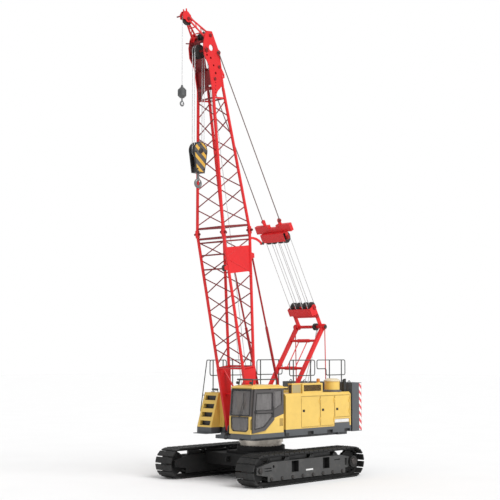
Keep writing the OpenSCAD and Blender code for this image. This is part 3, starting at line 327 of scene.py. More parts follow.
def above_line(t):
    """1 where the cab is dark: above a line that drops to the front of the door, and on the front
    pillars above the lower windscreen."""
    x0, length, z0 = 0.6, 1.7, 1.5
    xyz = node(t, "ShaderNodeSeparateXYZ", Vector=place(t))
    ramp = node(t, "ShaderNodeValToRGB",
                Fac=spread(t, xyz.outputs[0], x0, x0 + length, 0.0, 1.0))
    stops = ((0.62, 2.19), (1.27, 2.02), (1.60, 1.76), (2.145, 1.65), (2.150, 2.14), (2.30, 2.14))
    e = ramp.color_ramp.elements
    while len(e) < len(stops):
        e.new(0.5)
    for k, (x, z) in zip(e, stops):
        k.position = (x - x0) / length
        k.color = (z - z0, z - z0, z - z0, 1)
    height = spread(t, xyz.outputs[2], z0, z0 + 1, 0.0, 1.0)
    return calc(t, "GREATER_THAN", height, ramp.outputs[0])


def along(t, p, axis):
    """How far p lies from the boom's foot along an axis."""
    return calc(t, "SUBTRACT", dot(t, p, axis), FOOT.dot(axis))


def painted_shade_in_boom(t):
    """1 on the boom's lacing and inside its head, 0 on the chords, legs and outer plates: where the
    darker red paints the shade inside the boom.
    """
    p = place(t)
    s, across, front = along(t, p, U), along(t, p, Y), along(t, p, N)
    y, n = calc(t, "ABSOLUTE", across), calc(t, "ABSOLUTE", front)
    leg, joint, top, head = 1.94, 6.5, 11.2, 10.84

    def inside(value, low, middle, high):
        taper = calc(t, "MINIMUM", spread(t, s, leg, joint, low, middle),
                     spread(t, s, joint, top, middle, high))
        return calc(t, "LESS_THAN", value, taper)

    def between(low, high):
        return times(t, calc(t, "GREATER_THAN", s, low), calc(t, "LESS_THAN", s, high))

    inner = calc(t, "MAXIMUM", inside(y, 0.50, 0.53, 0.275), inside(n, 0.175, 0.55, 0.165))
    lattice = times(t, between(2.06, head), inner)
    plate = times(t, between(5.13, 6.02), calc(t, "GREATER_THAN", across, 0.57))
    hollow = times(t, calc(t, "GREATER_THAN", s, head), calc(t, "LESS_THAN", y, 0.3255))
    return calc(t, "MAXIMUM", times(t, lattice, calc(t, "SUBTRACT", 1.0, plate)), hollow)


RED, YELLOW = (0.70, 0.016, 0.019), (0.79, 0.53, 0.115)
CAB_GREY = (0.070, 0.064, 0.064)
red = paint("red_paint", RED, 0.40, worn=(0.30, 0.02, 0.02), wear=0.45, dirt=(0.30, 0.01, 0.01),
            grime=0.18, coat=0.08, shine=0.35)
# The boom's red, with a darker red as painted shade on the lacing and inside the head
boom_red = paint("boom_paint_painted_shade", RED, 0.40, worn=(0.30, 0.02, 0.02), wear=0.45,
                 dirt=(0.30, 0.01, 0.01), grime=0.18, coat=0.08, shine=0.35,
                 second=(0.20, 0.007, 0.010), where=painted_shade_in_boom)
deep_red = paint("deep_red_paint", (0.20, 0.008, 0.010), 0.42, worn=(0.10, 0.01, 0.01),
                 dirt=(0.05, 0.01, 0.01), coat=0.05, shine=0.3)
stop_red = paint("backstop_paint", (0.36, 0.010, 0.013), 0.42, worn=(0.15, 0.01, 0.01),
                 dirt=(0.10, 0.01, 0.01), coat=0.05, shine=0.3)
yellow = paint("yellow_paint", YELLOW, 0.36, worn=(0.45, 0.24, 0.05), wear=0.35,
               dirt=(0.45, 0.27, 0.06), grime=0.20)
two_tone = paint("cab_two_tone", YELLOW, 0.36, worn=(0.30, 0.18, 0.06), wear=0.3,
                 dirt=(0.20, 0.13, 0.05), grime=0.15, second=CAB_GREY, where=above_line)
grey = paint("grey_paint", (0.085, 0.092, 0.100), 0.46, worn=(0.22, 0.22, 0.22), wear=0.6,
             dirt=(0.045, 0.045, 0.045), grime=0.3, coat=0.1)
cab_grey = paint("cab_grey_paint", CAB_GREY, 0.42, worn=(0.18, 0.18, 0.18),
                 dirt=(0.03, 0.03, 0.03), coat=0.2)
black = paint("black_paint", (0.020, 0.020, 0.021), 0.45, worn=(0.12, 0.12, 0.12), wear=0.5,
              dirt=(0.05, 0.047, 0.043), grime=0.3, coat=0.1)
rail_paint = paint("rail_paint", (0.045, 0.050, 0.050), 0.45, worn=(0.2, 0.2, 0.2))
track_steel = metal("track_steel", (0.020, 0.020, 0.020), 0.55, 0.30, rust=(0.036, 0.031, 0.026),
                    amount=0.4, scale=3.0)
frame_steel = paint("frame_paint", (0.048, 0.048, 0.048), 0.5, worn=(0.20, 0.20, 0.195), wear=0.8,
                    dirt=(0.125, 0.120, 0.112), grime=0.5, coat=0.05)
# A darker copy of the frame paint, as painted shade, for the car body and the far (right) track
# frame
shade_steel = paint("painted_shade_frame_paint", (0.016, 0.016, 0.016), 0.55, worn=(0.08, 0.08, 0.08),
                    wear=0.6, dirt=(0.030, 0.028, 0.026), grime=0.4, coat=0.0, shine=0.3)
dark_steel = metal("dark_steel", (0.055, 0.050, 0.048), 0.42, 0.6,
                   rust=(0.07, 0.03, 0.02), amount=0.3)
bare_steel = metal("bare_steel", (0.62, 0.57, 0.50), 0.34, 0.85,
                   rust=(0.45, 0.34, 0.22), amount=0.35)
chrome = metal("pin_steel", (0.45, 0.45, 0.45), 0.28, 0.95, rust=(0.2, 0.15, 0.1), amount=0.12)
rope = wire("rope_steel", (0.66, 0.66, 0.67), 90.0)
pendant_rope = wire("pendant_steel", (0.26, 0.20, 0.19), 110.0)
hook_steel = metal("hook_steel", (0.20, 0.205, 0.21), 0.42, 0.5,
                   rust=(0.09, 0.07, 0.05), amount=0.3)
weight_steel = metal("weight_steel", (0.115, 0.120, 0.122), 0.45, 0.4,
                     rust=(0.05, 0.04, 0.03), amount=0.3)
seal = rubber("seal_rubber")
seat_cloth = rubber("seat_cloth", (0.030, 0.031, 0.034), 0.85)
glass = pane("cab_glass", (0.165, 0.155, 0.155), 0.62)
brown = paint("screen_paint", (0.055, 0.030, 0.014), 0.6, coat=0.0)
cream = paint("cream_paint", (0.72, 0.62, 0.42), 0.4, dirt=(0.4, 0.33, 0.2))
white_plate = paint("white_plate", (0.80, 0.80, 0.79), 0.4)
amber = lamp_glass("amber_lens", (0.62, 0.20, 0.02), 0.02)
zebra = striped("zebra_stripes", (0.82, 0.80, 0.79), (0.66, 0.09, 0.10), (0.707, 0.0, -0.707), 0.17)
seam_paint = paint("seam_paint", (0.34, 0.21, 0.045), 0.6, coat=0.0)
tan = paint("tan_paint", (0.40, 0.33, 0.17), 0.5, coat=0.05)
hazard = striped("hazard_stripes", (0.080, 0.080, 0.078), (0.66, 0.39, 0.06), (-0.6, 0.0, 0.8),
                 0.26, share=0.58)

# Material and slot of each node; what isn't named is a yellow door
FINISH = {
    "carbody": (shade_steel, "dark_paint"), "slew_ring": (bare_steel, "bare_steel"),
    "track_frame_left": (frame_steel, "dark_paint"),
    # the far track frame takes the darker copy of the frame paint: painted shade
    "track_frame_right": (shade_steel, "dark_paint"),
    "track_left": (track_steel, "dark_steel"), "track_right": (track_steel, "dark_steel"),
    "running_gear_left": (track_steel, "dark_steel"),
    "running_gear_right": (track_steel, "dark_steel"),
    "revolving_frame": (grey, "grey_paint"), "house_left": (yellow, "yellow_paint"),
    "house_right": (yellow, "yellow_paint"), "access_steps": (yellow, "yellow_paint"),
    "engine": (grey, "grey_paint"), "counterweight_base": (grey, "grey_paint"),
    "counterweight_blocks": (grey, "grey_paint"), "gantry_frame": (red, "red_paint"),
    "gantry_links": (red, "red_paint"), "winch_drums": (dark_steel, "dark_steel"),
    "exhaust": (black, "dark_steel"),
    "handrails": (rail_paint, "dark_paint"), "roof_units": (yellow, "yellow_paint"),
    "cab_shell": (two_tone, "yellow_paint"), "cab_roof": (yellow, "yellow_paint"),
    "cab_glazing": (glass, "glass"), "operator_seat": (seat_cloth, "seat"),
    "cab_door": (cab_grey, "grey_paint"), "cab_door_glass": (glass, "glass"),
    "boom_base": (boom_red, "red_paint"), "boom_top": (boom_red, "red_paint"),
    "boom_sheaves": (dark_steel, "dark_steel"), "tip_jib": (red, "red_paint"),
    "gantry_head": (red, "red_paint"), "gantry_sheaves": (dark_steel, "dark_steel"),
    "bail": (red, "red_paint"), "bail_sheaves": (dark_steel, "dark_steel"),
    "pendants": (pendant_rope, "dark_steel"), "backstop_tubes": (stop_red, "red_paint"),
    "backstop_rods": (stop_red, "red_paint"), "main_block": (black, "dark_paint"),
    "main_hook": (hook_steel, "dark_steel"), "aux_weight": (weight_steel, "dark_steel"),
    "aux_hook": (hook_steel, "dark_steel"), "luffing_ropes": (rope, "bare_steel"),
    "main_ropes": (rope, "bare_steel"), "aux_rope": (rope, "bare_steel"),
}
for name, o in nodes.items():
    finish, slot_name = FINISH.get(name, (yellow, "yellow_paint"))
    o.data.materials.clear()
    o.data.materials.append(finish)


# Mesh building

def piece(name, bm, mat, body, smooth=0.6):
    """A finished mesh, riding on a body."""
    bmesh.ops.recalc_face_normals(bm, faces=bm.faces)
    me = bpy.data.meshes.new(name)
    bm.to_mesh(me)
    bm.free()
    me.materials.append(mat)
    o = bpy.data.objects.new(name, me)
    bpy.context.scene.collection.objects.link(o)
    if smooth:
        for f in me.polygons:
            f.use_smooth = True
        me.set_sharp_from_angle(angle=smooth)
    if body:
        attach(o, body)
    return o


def turned(axis):
    """A rotation that takes Z to axis."""
    return axis.normalized().to_track_quat("Z", "Y").to_matrix().to_4x4()


def turns(n):
    """Angles of n even steps round a circle."""
    return [2 * pi * i / n for i in range(n)]


def lathe(bm, profile, at, axis, sides):
    """Spins (radius, height) pairs about an axis; a radius of 0 closes the end."""
    m = Matrix.Translation(at) @ turned(axis)
    rings = []
    for r, h in profile:
        if r == 0:
            rings.append([bm.verts.new(m @ V((0, 0, h)))])
        else:
            rings.append([bm.verts.new(m @ V((r * cos(q), r * sin(q), h))) for q in turns(sides)])
    for a, b in zip(rings, rings[1:]):
        for i in range(sides):
            j = (i + 1) % sides
            if len(a) == 1:
                bm.faces.new((a[0], b[i], b[j]))
            elif len(b) == 1:
                bm.faces.new((a[i], b[0], a[j]))
            else:
                bm.faces.new((a[i], b[i], b[j], a[j]))


def disc(bm, at, axis, r, h, sides=20):
    lathe(bm, [(0, 0), (r, 0), (r, h), (0, h)], at, axis, sides)


def bolt(bm, at, axis, r, h):
    """A hexagon head on its washer."""
    disc(bm, at, axis, r * 1.3, h * 0.2, 10)
    lathe(bm, [(r, h * 0.2), (r, h * 0.85), (r * 0.8, h), (0, h)], at, axis, 6)


def bolt_circle(bm, at, s, n, radius, r, h):
    """Bolts in a circle about an axle, on the side s."""
    for q in turns(n):
        bolt(bm, at + V((cos(q), 0, sin(q))) * radius, Y * s, r, h)


def tube(bm, points, r, sides=8):
    """A round bar bent along points, closed at both ends."""
    pts = [V(p) for p in points]
    up = None
    rings = []
    for i, p in enumerate(pts):
        a = (p - pts[i - 1]).normalized() if i else (pts[1] - p).normalized()
        b = (pts[i + 1] - p).normalized() if i + 1 < len(pts) else a
        d = (a + b).normalized()
        if up is None:
            up = d.orthogonal().normalized()
        up = (up - d * up.dot(d)).normalized()
        side = d.cross(up)
        k = 1 / max(0.5, d.dot(a)) if 0 < i < len(pts) - 1 else 1
        rings.append([bm.verts.new(p + (up * cos(q) + side * sin(q)) * r * k)
                      for q in turns(sides)])
    for a, b in zip(rings, rings[1:]):
        for j in range(sides):
            bm.faces.new((a[j], a[(j + 1) % sides], b[(j + 1) % sides], b[j]))
    bm.faces.new(rings[0])
    bm.faces.new(rings[-1])


def flat(y, *corners):
    """Points at one y, from pairs of x and z."""
    return [(x, y, z) for x, z in corners]


def evenly(p, q, n):
    """Points in n even steps from p to q."""
    p, q = V(p), V(q)
    return [p.lerp(q, i / n) for i in range(n + 1)]


def rounded(points, r, n=4):
    """Points of a path with its inner corners rounded off."""
    pts = [V(p) for p in points]
    out = [pts[0]]
    for a, b, c in zip(pts, pts[1:], pts[2:]):
        d0, d1 = (a - b).normalized(), (c - b).normalized()
        s, e = b + d0 * r, b + d1 * r
        for i in range(n + 1):
            q = i / n
            out.append(s.lerp(b, q).lerp(b.lerp(e, q), q))
    return out + [pts[-1]]


def handle(bm, a, b, off, r):
    """A bent bar from a to b, standing off by a vector."""
    a, b, off = V(a), V(b), V(off)
    tube(bm, rounded([a, a + off, b + off, b], 0.02), r)


def slab(bm, low, high, ease, m=None):
    """A box with eased edges, moved by m."""
    made = bmesh.ops.create_cube(bm, size=1)["verts"]
    low, high = V(low), V(high)
    for v in made:
        v.co = V(((low[k] + high[k]) / 2 + v.co[k] * (high[k] - low[k])) for k in range(3))
    if ease:
        edges = list({e for v in made for e in v.link_edges})
        made = bmesh.ops.bevel(bm, geom=edges, offset=ease, segments=2, affect="EDGES",
                               profile=0.6)["verts"]
    if m is not None:
        done = set()
        stack = list(made)
        while stack:
            v = stack.pop()
            if v in done:
                continue
            done.add(v)
            stack += [e.other_vert(v) for e in v.link_edges]
        for v in done:
            v.co = m @ v.co


def side_slab(bm, s, x, y, z, ease=0.0):
    """A box between pairs of x, y and z, on the left for s = 1 and mirrored for s = -1."""
    a, b = sorted((s * y[0], s * y[1]))
    slab(bm, (x[0], a, z[0]), (x[1], b, z[1]), ease)


def prism(bm, outline, m, depth):
    """A flat outline in the XY of m, drawn out along its Z."""
    a = [bm.verts.new(m @ V((x, y, 0))) for x, y in outline]
    b = [bm.verts.new(m @ V((x, y, depth))) for x, y in outline]
    bm.faces.new(a)
    bm.faces.new(b)
    for i in range(len(a)):
        j = (i + 1) % len(a)
        bm.faces.new((a[i], a[j], b[j], b[i]))


# Ropes between two bodies


def falls(name, pairs, node_name):
    """Straight parts of rope between the points of each pair, left on no body; the rope's own node
    is hidden.
    """
    bm = bmesh.new()
    for p, q in pairs:
        tube(bm, evenly(p, q, 24), ROPE)
    o = piece(name, bm, rope, None)
    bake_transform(o)
    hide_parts(node_name)


falls("luffing_rope_parts",
      [(line(GANTRY_SHEAVES, y, e * ON_LUFFING), line(BAIL_SHEAVES, y, e * ON_LUFFING))
       for y in LUFFING_Y for e in SIDES],
      "luffing_ropes")
falls("main_fall_parts",
      [((HEAD.x + e * ON_HEAD, y, HEAD.z), (HEAD.x + e * ON_HEAD, y, BLOCK_Z))
       for y in FALL_Y for e in SIDES],
      "main_ropes")
falls("aux_fall_part", [((AUX, 0, TIP.z), (AUX, 0, WEIGHT_Z))],
      "aux_rope")


def bend(bm, at, a, b, r, start, end, thick=ROPE):
    """A rope or bar bent round a centre, between two angles in the plane of a and b."""
    n = max(4, int(abs(end - start) / 12))
    tube(bm, [at + (a * cos(radians(q)) + b * sin(radians(q))) * r
              for q in (start + (end - start) * i / n for i in range(n + 1))], thick)


bm = bmesh.new()
for y in FALL_Y:
    bend(bm, HEAD + Y * y, X, Z, ON_HEAD, 0, 180)
piece("rope_over_head_sheaves", bm, rope, "main_fall")
bm = bmesh.new()
for y in FALL_Y:
    bend(bm, V((HEAD.x, y, BLOCK_Z)), X, Z, ON_HEAD, 180, 360)
piece("rope_under_block_sheaves", bm, rope, "main_block")
for name, body, a, way in (("rope_round_gantry_sheaves", "gantry_head", GANTRY_SHEAVES, -1),
                           ("rope_round_bail_sheaves", "bail", BAIL_SHEAVES, 1)):
    bm = bmesh.new()
    for y in LUFFING_Y:
        bend(bm, line(a, y, 0), OUT, LINE * way, ON_LUFFING, 0, 180)
    piece(name, bm, rope, body)
bm = bmesh.new()
bend(bm, TIP, X, Z, ON_TIP, 0, 128)
piece("rope_over_tip_sheave", bm, rope, "aux_fall")

# Hoist ropes from the front drum up inside the boom, and over the guide sheaves at its head.
# Their lowest part, between the drum and the boom, is left on no body.
BENDING = 0.1124


def hoist_rope(y):
    """Ends of a hoist rope, at the drum and at its guide sheave."""
    return boom(0.167, 3 * y, -0.38), TOP - N * ON_GUIDE + Y * y


lean = (U * 0.65 - N * 0.55).normalized()
bm = bmesh.new()
for y in FALL_Y:
    low, high = hoist_rope(y)
    tube(bm, [low.lerp(high, BENDING), high], ROPE)
    bend(bm, TOP + Y * y, -N, U, ON_GUIDE, 0, 54)
tube(bm, [TOP + lean * ON_GUIDE + Y * FALL_Y[1], TIP + lean * ON_TIP], ROPE)
bend(bm, TOP + Y * FALL_Y[0], -N, U, ON_GUIDE, 50, 150)
piece("hoist_ropes_on_boom", bm, rope, "boom")
for y, hand in zip(FALL_Y, ("right", "left")):
    low, high = hoist_rope(y)
    high = low.lerp(high, BENDING)
    bm = bmesh.new()
    tube(bm, evenly(low, high, 12), ROPE)
    o = piece("hoist_rope_at_drum_" + hand, bm, rope, None)
    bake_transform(o)

# Rope wound on the drums, and the luffing rope up to the gantry's guide sheaves
WRAPS, LAY, WOUND = 30, 0.0219, 0.328
bm = bmesh.new()
for x in DRUM_X:
    coil = [(0.251, -0.331)]
    for i in range(WRAPS):
        z = LAY * i - WOUND
        coil += [(0.272, z), (0.290, z + ROPE)]
    lathe(bm, coil + [(0.272, 0.329), (0.251, 0.331)], V((x, 0, DRUM_Z)), Y, 28)
tube(bm, [(-1.985, 0.12, 1.95), (-2.66, GANTRY_GUIDE_Y[0], 5.02)], ROPE)
tube(bm, [(-1.972, -0.12, 2.0), (-2.66, GANTRY_GUIDE_Y[1], 5.02)], ROPE)
piece("rope_on_drums", bm, rope, "upper")
bm = bmesh.new()
for y in GANTRY_GUIDE_Y:
    lathe(bm, [(0.056, -0.024), (0.125, -0.024), (0.103, 0), (0.125, 0.024), (0.056, 0.024)],
          GANTRY + Y * y, Y, 28)
piece("gantry_guide_sheaves", bm, dark_steel, "upper")

# Guard rails of bent tube on footed posts
RAIL, RAIL_LOW, RAIL_TOP = 0.017, 3.36, 3.88
LEFT_RAIL_Y, RIGHT_RAIL_Y, STAIR_Y = 0.9, -1.5, -1.65
CAB_RAIL_X, CAB_RAIL_Z = 1.93, 3.28
LAMP_Y = (0.86, 1.44)


def loop(bm, points, r, corner):
    """A closed bar with its corners rounded."""
    pts = [V(p) for p in points]
    mid = pts[0].lerp(pts[1], 0.5)
    tube(bm, rounded([mid] + pts[1:] + [pts[0], mid], corner, 5), r)


def panel(bm, x0, x1, y):
    corners = (x0, RAIL_LOW), (x1, RAIL_LOW), (x1, RAIL_TOP), (x0, RAIL_TOP)
    loop(bm, flat(y, *corners), RAIL, 0.085)


def post(bm, x, y, low):
    foot, plate, bolted = 0.05, 0.012, 0.035
    tube(bm, [(x, y, low), (x, y, RAIL_TOP)], 0.02, 10)
    slab(bm, (x - foot, y - foot, low), (x + foot, y + foot, low + plate), 0.003)
    for a, b in ((-1, -1), (1, -1), (1, 1), (-1, 1)):
        bolt(bm, V((x + a * bolted, y + b * bolted, low + plate)), Z, 0.009, 0.012)


bm = bmesh.new()
panel(bm, -1.74, -0.44, LEFT_RAIL_Y)
loop(bm, flat(LEFT_RAIL_Y, (-3.39, RAIL_LOW), (-2.35, RAIL_LOW), (-2.35, 3.58), (-1.86, 3.58),
              (-1.86, RAIL_TOP), (-3.39, RAIL_TOP)), RAIL, 0.07)
for x in (-1.52, -0.63, -2.53):
    post(bm, x, LEFT_RAIL_Y, ROOF_Z)
post(bm, -3.19, LEFT_RAIL_Y, WEIGHT_TOP)
for x0, x1 in ((-2.74, -1.40), (-1.28, 0.02), (0.14, 0.93)):
    panel(bm, x0, x1, RIGHT_RAIL_Y)
for x in (-2.55, -1.59, -1.09, -0.17, 0.30, 0.78):
    post(bm, x, RIGHT_RAIL_Y, ROOF_Z)
# up the steps
tube(bm, rounded([(1.225, -1.61, 2.16), (1.225, STAIR_Y, 2.16), (1.03, STAIR_Y, 3.30),
                  (0.93, STAIR_Y, RAIL_TOP), (0.93, RIGHT_RAIL_Y, RAIL_TOP)], 0.03), RAIL)
tube(bm, rounded([(1.133, STAIR_Y, 2.7), (0.995, STAIR_Y, 2.7), (0.995, -1.61, 2.7)], 0.03), 0.014)
# on the cab's roof
tube(bm, rounded([(CAB_RAIL_X, 0.80, CAB_RAIL_Z), (CAB_RAIL_X, 1.47, CAB_RAIL_Z),
                  (0.85, 1.47, CAB_RAIL_Z), (0.85, 1.47, 3.105)], 0.08), 0.018)
tube(bm, [(CAB_RAIL_X, 0.775, CAB_RAIL_Z), (CAB_RAIL_X, 1.44, CAB_RAIL_Z)], 0.027, 10)
for y in LAMP_Y:
    stem = flat(y, (CAB_RAIL_X, CAB_RAIL_Z), (CAB_RAIL_X, 3.17), (1.955, 3.106))
    tube(bm, rounded(stem, 0.03), 0.02)
o = piece("guard_rails", bm, rail_paint, "upper")
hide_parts("handrails")

# Stripes on the counterweight and the block's cheeks, the block's pin caps, the hooks' latches
bm = bmesh.new()
for s in SIDES:
    side_slab(bm, s, (-3.398, -3.27), (1.609, 1.613), (1.46, 3.085))
piece("counterweight_stripes", bm, zebra, "upper", 0)
bm = bmesh.new()
CHEEK_R, CHEEK_Y, CHEEK_T = 0.268, 0.126, 0.004
cheek = [(CHEEK_R * cos(radians(q)), CHEEK_R * sin(radians(q))) for q in range(0, 181, 10)]
cheek += [(-0.158, -0.69), (0.158, -0.69)]
for s in SIDES:
    m = Matrix(((1, 0, 0, HEAD.x), (0, 0, s, s * CHEEK_Y), (0, 1, 0, BLOCK_Z), (0, 0, 0, 1)))
    prism(bm, cheek, m, CHEEK_T)
piece("block_cheek_stripes", bm, hazard, "main_block", 0)
bm = bmesh.new()
for s in SIDES:
    at = V((HEAD.x, s * (CHEEK_Y + CHEEK_T), BLOCK_Z))
    lathe(bm, [(0.085, 0), (0.085, 0.018), (0.06, 0.03), (0, 0.03)], at, Y * s, 24)
    bolt_circle(bm, at + Y * s * 0.018, s, 6, 0.07, 0.008, 0.01)
    for x, z in ((-0.22, -0.05), (0.22, -0.05), (-0.14, -0.6), (0.14, -0.6), (0, 0.22)):
        bolt(bm, at + V((x, 0, z)), Y * s, 0.02, 0.022)
piece("block_pin_caps", bm, dark_steel, "main_block")
for name, body, at, k in (("main_hook_latch", "main_hook", V((HEAD.x, 0, 9.565)), 1.0),
                          ("aux_hook_latch", "aux_hook", V((AUX, 0, 12.06)), 0.59)):
    bm = bmesh.new()
    m = Matrix(((k, 0, 0, at.x), (0, 0, k, -0.016 * k), (0, k, 0, at.z), (0, 0, 0, 1)))
    prism(bm, [(-0.038, 0.172), (-0.135, 0.092), (-0.128, 0.072), (-0.105, 0.078), (-0.038, 0.140)],
          m, 0.032)
    lathe(bm, [(0.012 * k, -0.03 * k), (0.012 * k, 0.03 * k), (0, 0.03 * k)],
          at + V((-0.045, 0, 0.155)) * k, Y, 10)
    piece(name, bm, chrome, body)

# Pins with keeper plates


def pin_head(bm, at, axis, r, h=0.03):
    lathe(bm, [(r, 0), (r, h * 0.7), (r * 0.8, h), (0, h)], at, axis, 20)


def keeper(bm, at, s):
    """A plate that hangs below a pin and holds it, on the side s."""
    m = Matrix.Translation(at) @ Matrix((-Z, Y * s, -X)).transposed().to_4x4()
    slab(bm, (0.03, 0, -0.028), (0.15, 0.01, 0.028), 0.003, m)
    bolt(bm, at - Z * 0.125 + Y * s * 0.01, Y * s, 0.011, 0.014)


bm = bmesh.new()
for s in SIDES:
    for at, r in ((FOOT + Y * s * 0.655, 0.062), (V((-0.22, s * 0.695, 1.76)), 0.052)):
        pin_head(bm, at, Y * s, r)
        keeper(bm, at, s)
    pin_head(bm, V((-2.62, s * 0.698, 1.74)), Y * s, 0.042)
    pin_head(bm, GANTRY + Y * s * 0.706, Y * s, 0.07)
    pin_head(bm, V((-0.65, s * 0.522, 2.0)), Y * s, 0.042)
    for x in DRUM_X:
        at = V((x, s * 0.4185, DRUM_Z))
        lathe(bm, [(0.13, 0), (0.13, 0.02), (0.09, 0.035), (0, 0.035)], at, Y * s, 24)
        bolt_circle(bm, at + Y * s * 0.02, s, 8, 0.11, 0.009, 0.012)
piece("upper_pins", bm, dark_steel, "upper")

bm = bmesh.new()
for y in (-0.6, 0.6):
    for n in (-0.62, 0.62):
        for s in SIDES:
            pin_head(bm, boom(6.5, y + s * 0.076, n), Y * s, 0.042, 0.05)
for s in SIDES:
    face = s * PLATE_OUT
    pin_head(bm, ANCHOR + Y * s * 0.414, Y * s, 0.045)
    pin_head(bm, HEAD + Y * face, Y * s, 0.07, 0.035)
    pin_head(bm, TOP + Y * face, Y * s, 0.06)
    pin_head(bm, boom(11.9, face, -0.12), Y * s, 0.055, 0.025)
    pin_head(bm, boom(11.5, face, 0.12), Y * s, 0.055, 0.025)
    pin_head(bm, TIP + Y * s * 0.081, Y * s, 0.055)
    for q in turns(6):
        bolt(bm, HEAD + Y * face + (U * cos(q) + N * sin(q)) * 0.095, Y * s, 0.010, 0.012)
    for k in range(5):
        bolt(bm, boom(11.05 + 0.11 * k, face, 0.16 - 0.02 * k), Y * s, 0.012, 0.014)
piece("boom_pins", bm, deep_red, "boom")

bm = bmesh.new()
for s in SIDES:
    pin_head(bm, line(4.13, s * 0.411, 0), Y * s, 0.045)
    pin_head(bm, line(BAIL_SHEAVES, s * 0.5, 0), Y * s, 0.07)
piece("bail_pins", bm, stop_red, "bail")
bm = bmesh.new()
for s in SIDES:
    pin_head(bm, line(GANTRY_SHEAVES, s * 0.524, 0), Y * s, 0.075)
    pin_head(bm, line(0.43, s * 0.524, 0), Y * s, 0.07, 0.02)
piece("gantry_head_pins", bm, stop_red, "gantry_head")

# Rope guides on the boom: a roller on the rear arm, a ring on the front chord, feelers at the head
RING_S = 5.34
bm = bmesh.new()
lathe(bm, [(0, -0.05), (0.05, -0.05), (0.035, -0.02), (0.035, 0.02), (0.05, 0.05), (0, 0.05)],
      boom(6.02, 0.60, -1.165), Y, 20)
lathe(bm, [(0.045, -0.02), (0.105, -0.02), (0.09, 0), (0.105, 0.02), (0.045, 0.02), (0.045, -0.02)],
      boom(RING_S, 0.615, 0.735), Y, 24)
tube(bm, [boom(RING_S, 0.585, 0.735), boom(RING_S, 0.645, 0.735)], 0.044, 14)
piece("boom_rope_guides", bm, dark_steel, "boom")
bm = bmesh.new()
for y, path, corner, r in ((-0.20, ((12.72, 0.36), (12.72, 0.58), (12.71, 0.74)), 0.04, 0.020),
                           (0.22, ((12.74, 0.36), (12.74, 0.50), (12.70, 0.56)), 0.03, 0.016)):
    tube(bm, rounded([boom(s, y, n) for s, n in path], corner), r)
tube(bm, [boom(13.61, -0.07, 0.84), boom(13.61, -0.40, 0.84)], 0.024, 10)
piece("head_rope_bars", bm, deep_red, "boom")
# Dark discs behind the small holes in the head's side plates: painted shade seen through the holes
bm = bmesh.new()
for s, n, hole in ((12.265, 0.385, 0.038), (12.175, 0.225, 0.042), (11.94, 0.12, 0.036),
                   (11.69, 0.06, 0.042)):
    for side in SIDES:
        disc(bm, boom(s, side * (PLATE_IN - 0.0005), n), -Y * side, hole + 0.015, 0.008)
piece("head_hole_painted_shade", bm, deep_red, "boom")
bm = bmesh.new()
for y in (0.575, 0.648):
    m = Matrix.Translation(boom(RING_S, y, 0.606)) @ Matrix((U, N, Y)).transposed().to_4x4()
    prism(bm, [(-0.09, 0.0), (0.09, 0.0), (0.05, 0.16), (-0.05, 0.16)], m, 0.008)
piece("rope_ring_bracket", bm, red, "boom", 0)

# Bolts on the slewing ring and the running gear
bm = bmesh.new()
for q in turns(40):
    bolt(bm, V((0.765 * cos(q), 0.765 * sin(q), 1.06)), Z, 0.014, 0.02)
for s in SIDES:
    hub = V((-AXLE, s * 2.155, AXLE_Z))
    lathe(bm, [(0.115, 0), (0.115, 0.02), (0.095, 0.035), (0, 0.035)], hub, Y * s, 28)
    bolt_circle(bm, hub, s, 14, 0.152, 0.014, 0.016)
    cap = V((AXLE, s * 2.09, AXLE_Z))
    lathe(bm, [(0.076, 0), (0.076, 0.015), (0.06, 0.028), (0, 0.028)], cap, Y * s, 24)
    bolt_circle(bm, V((AXLE, s * FRAME_FACE, AXLE_Z)), s, 6, 0.108, 0.012, 0.015)
    for x in ROLLER_X:
        lathe(bm, [(0.05, 0), (0.05, 0.012), (0.035, 0.02), (0, 0.02)],
              V((x, s * 2.073, ROLLER_Z)), Y * s, 14)
piece("running_gear_bolts", bm, dark_steel, "undercarriage")

# Shoe bolts, left off the run on the ground
PITCH = (4 * AXLE + 2 * pi * CHAIN) / SHOES
SHOE_FACE = 0.0399


def on_loop(a):
    """X and z, off the axles' middle, of a place on the chain."""
    a %= PITCH * SHOES
    if a < AXLE:
        return a, -CHAIN
    a -= AXLE
    if a < pi * CHAIN:
        return AXLE + CHAIN * sin(a / CHAIN), -CHAIN * cos(a / CHAIN)
    a -= pi * CHAIN
    if a < 2 * AXLE:
        return AXLE - a, CHAIN
    a -= 2 * AXLE
    if a < pi * CHAIN:
        return -AXLE - CHAIN * sin(a / CHAIN), CHAIN * cos(a / CHAIN)
    return a - pi * CHAIN - AXLE, -CHAIN


bm = bmesh.new()
for i in range(SHOES):
    a, b = on_loop((i + 0.5) * PITCH), on_loop((i + 1.5) * PITCH)
    d = V((b[0] - a[0], 0, b[1] - a[1])).normalized()
    out = V((d.z, 0, -d.x))
    if out.z < -0.6:
        continue
    mid = V(((a[0] + b[0]) / 2, 0, AXLE_Z + (a[1] + b[1]) / 2)) + out * SHOE_FACE
    for s in SIDES:
        for y in (-0.095, 0.095):
            for k in (-0.055, 0.055):
                lathe(bm, [(0.017, 0), (0.017, 0.010), (0.013, 0.013), (0, 0.013)],
                      mid + Y * (s * TRACK_Y + y) + d * k, out, 6)
piece("shoe_bolts", bm, track_steel, "undercarriage")

# A blank plate on the left side frame
bm = bmesh.new()
slab(bm, (-0.25, FRAME_FACE - 0.0005, 0.365), (0.10, FRAME_FACE + 0.0035, 0.415), 0.001)
piece("blank_plate", bm, white_plate, "undercarriage", 0)

# Cab: seals, wiper, handles, louvre, seat and controls


def rake(z):
    """X of the cab's front at a height: upright up to a sill, then leaning back."""
    front, back, sill, rise = 2.23, 0.09, 2.06, 0.93
    return front - back * max(0.0, (z - sill) / rise)


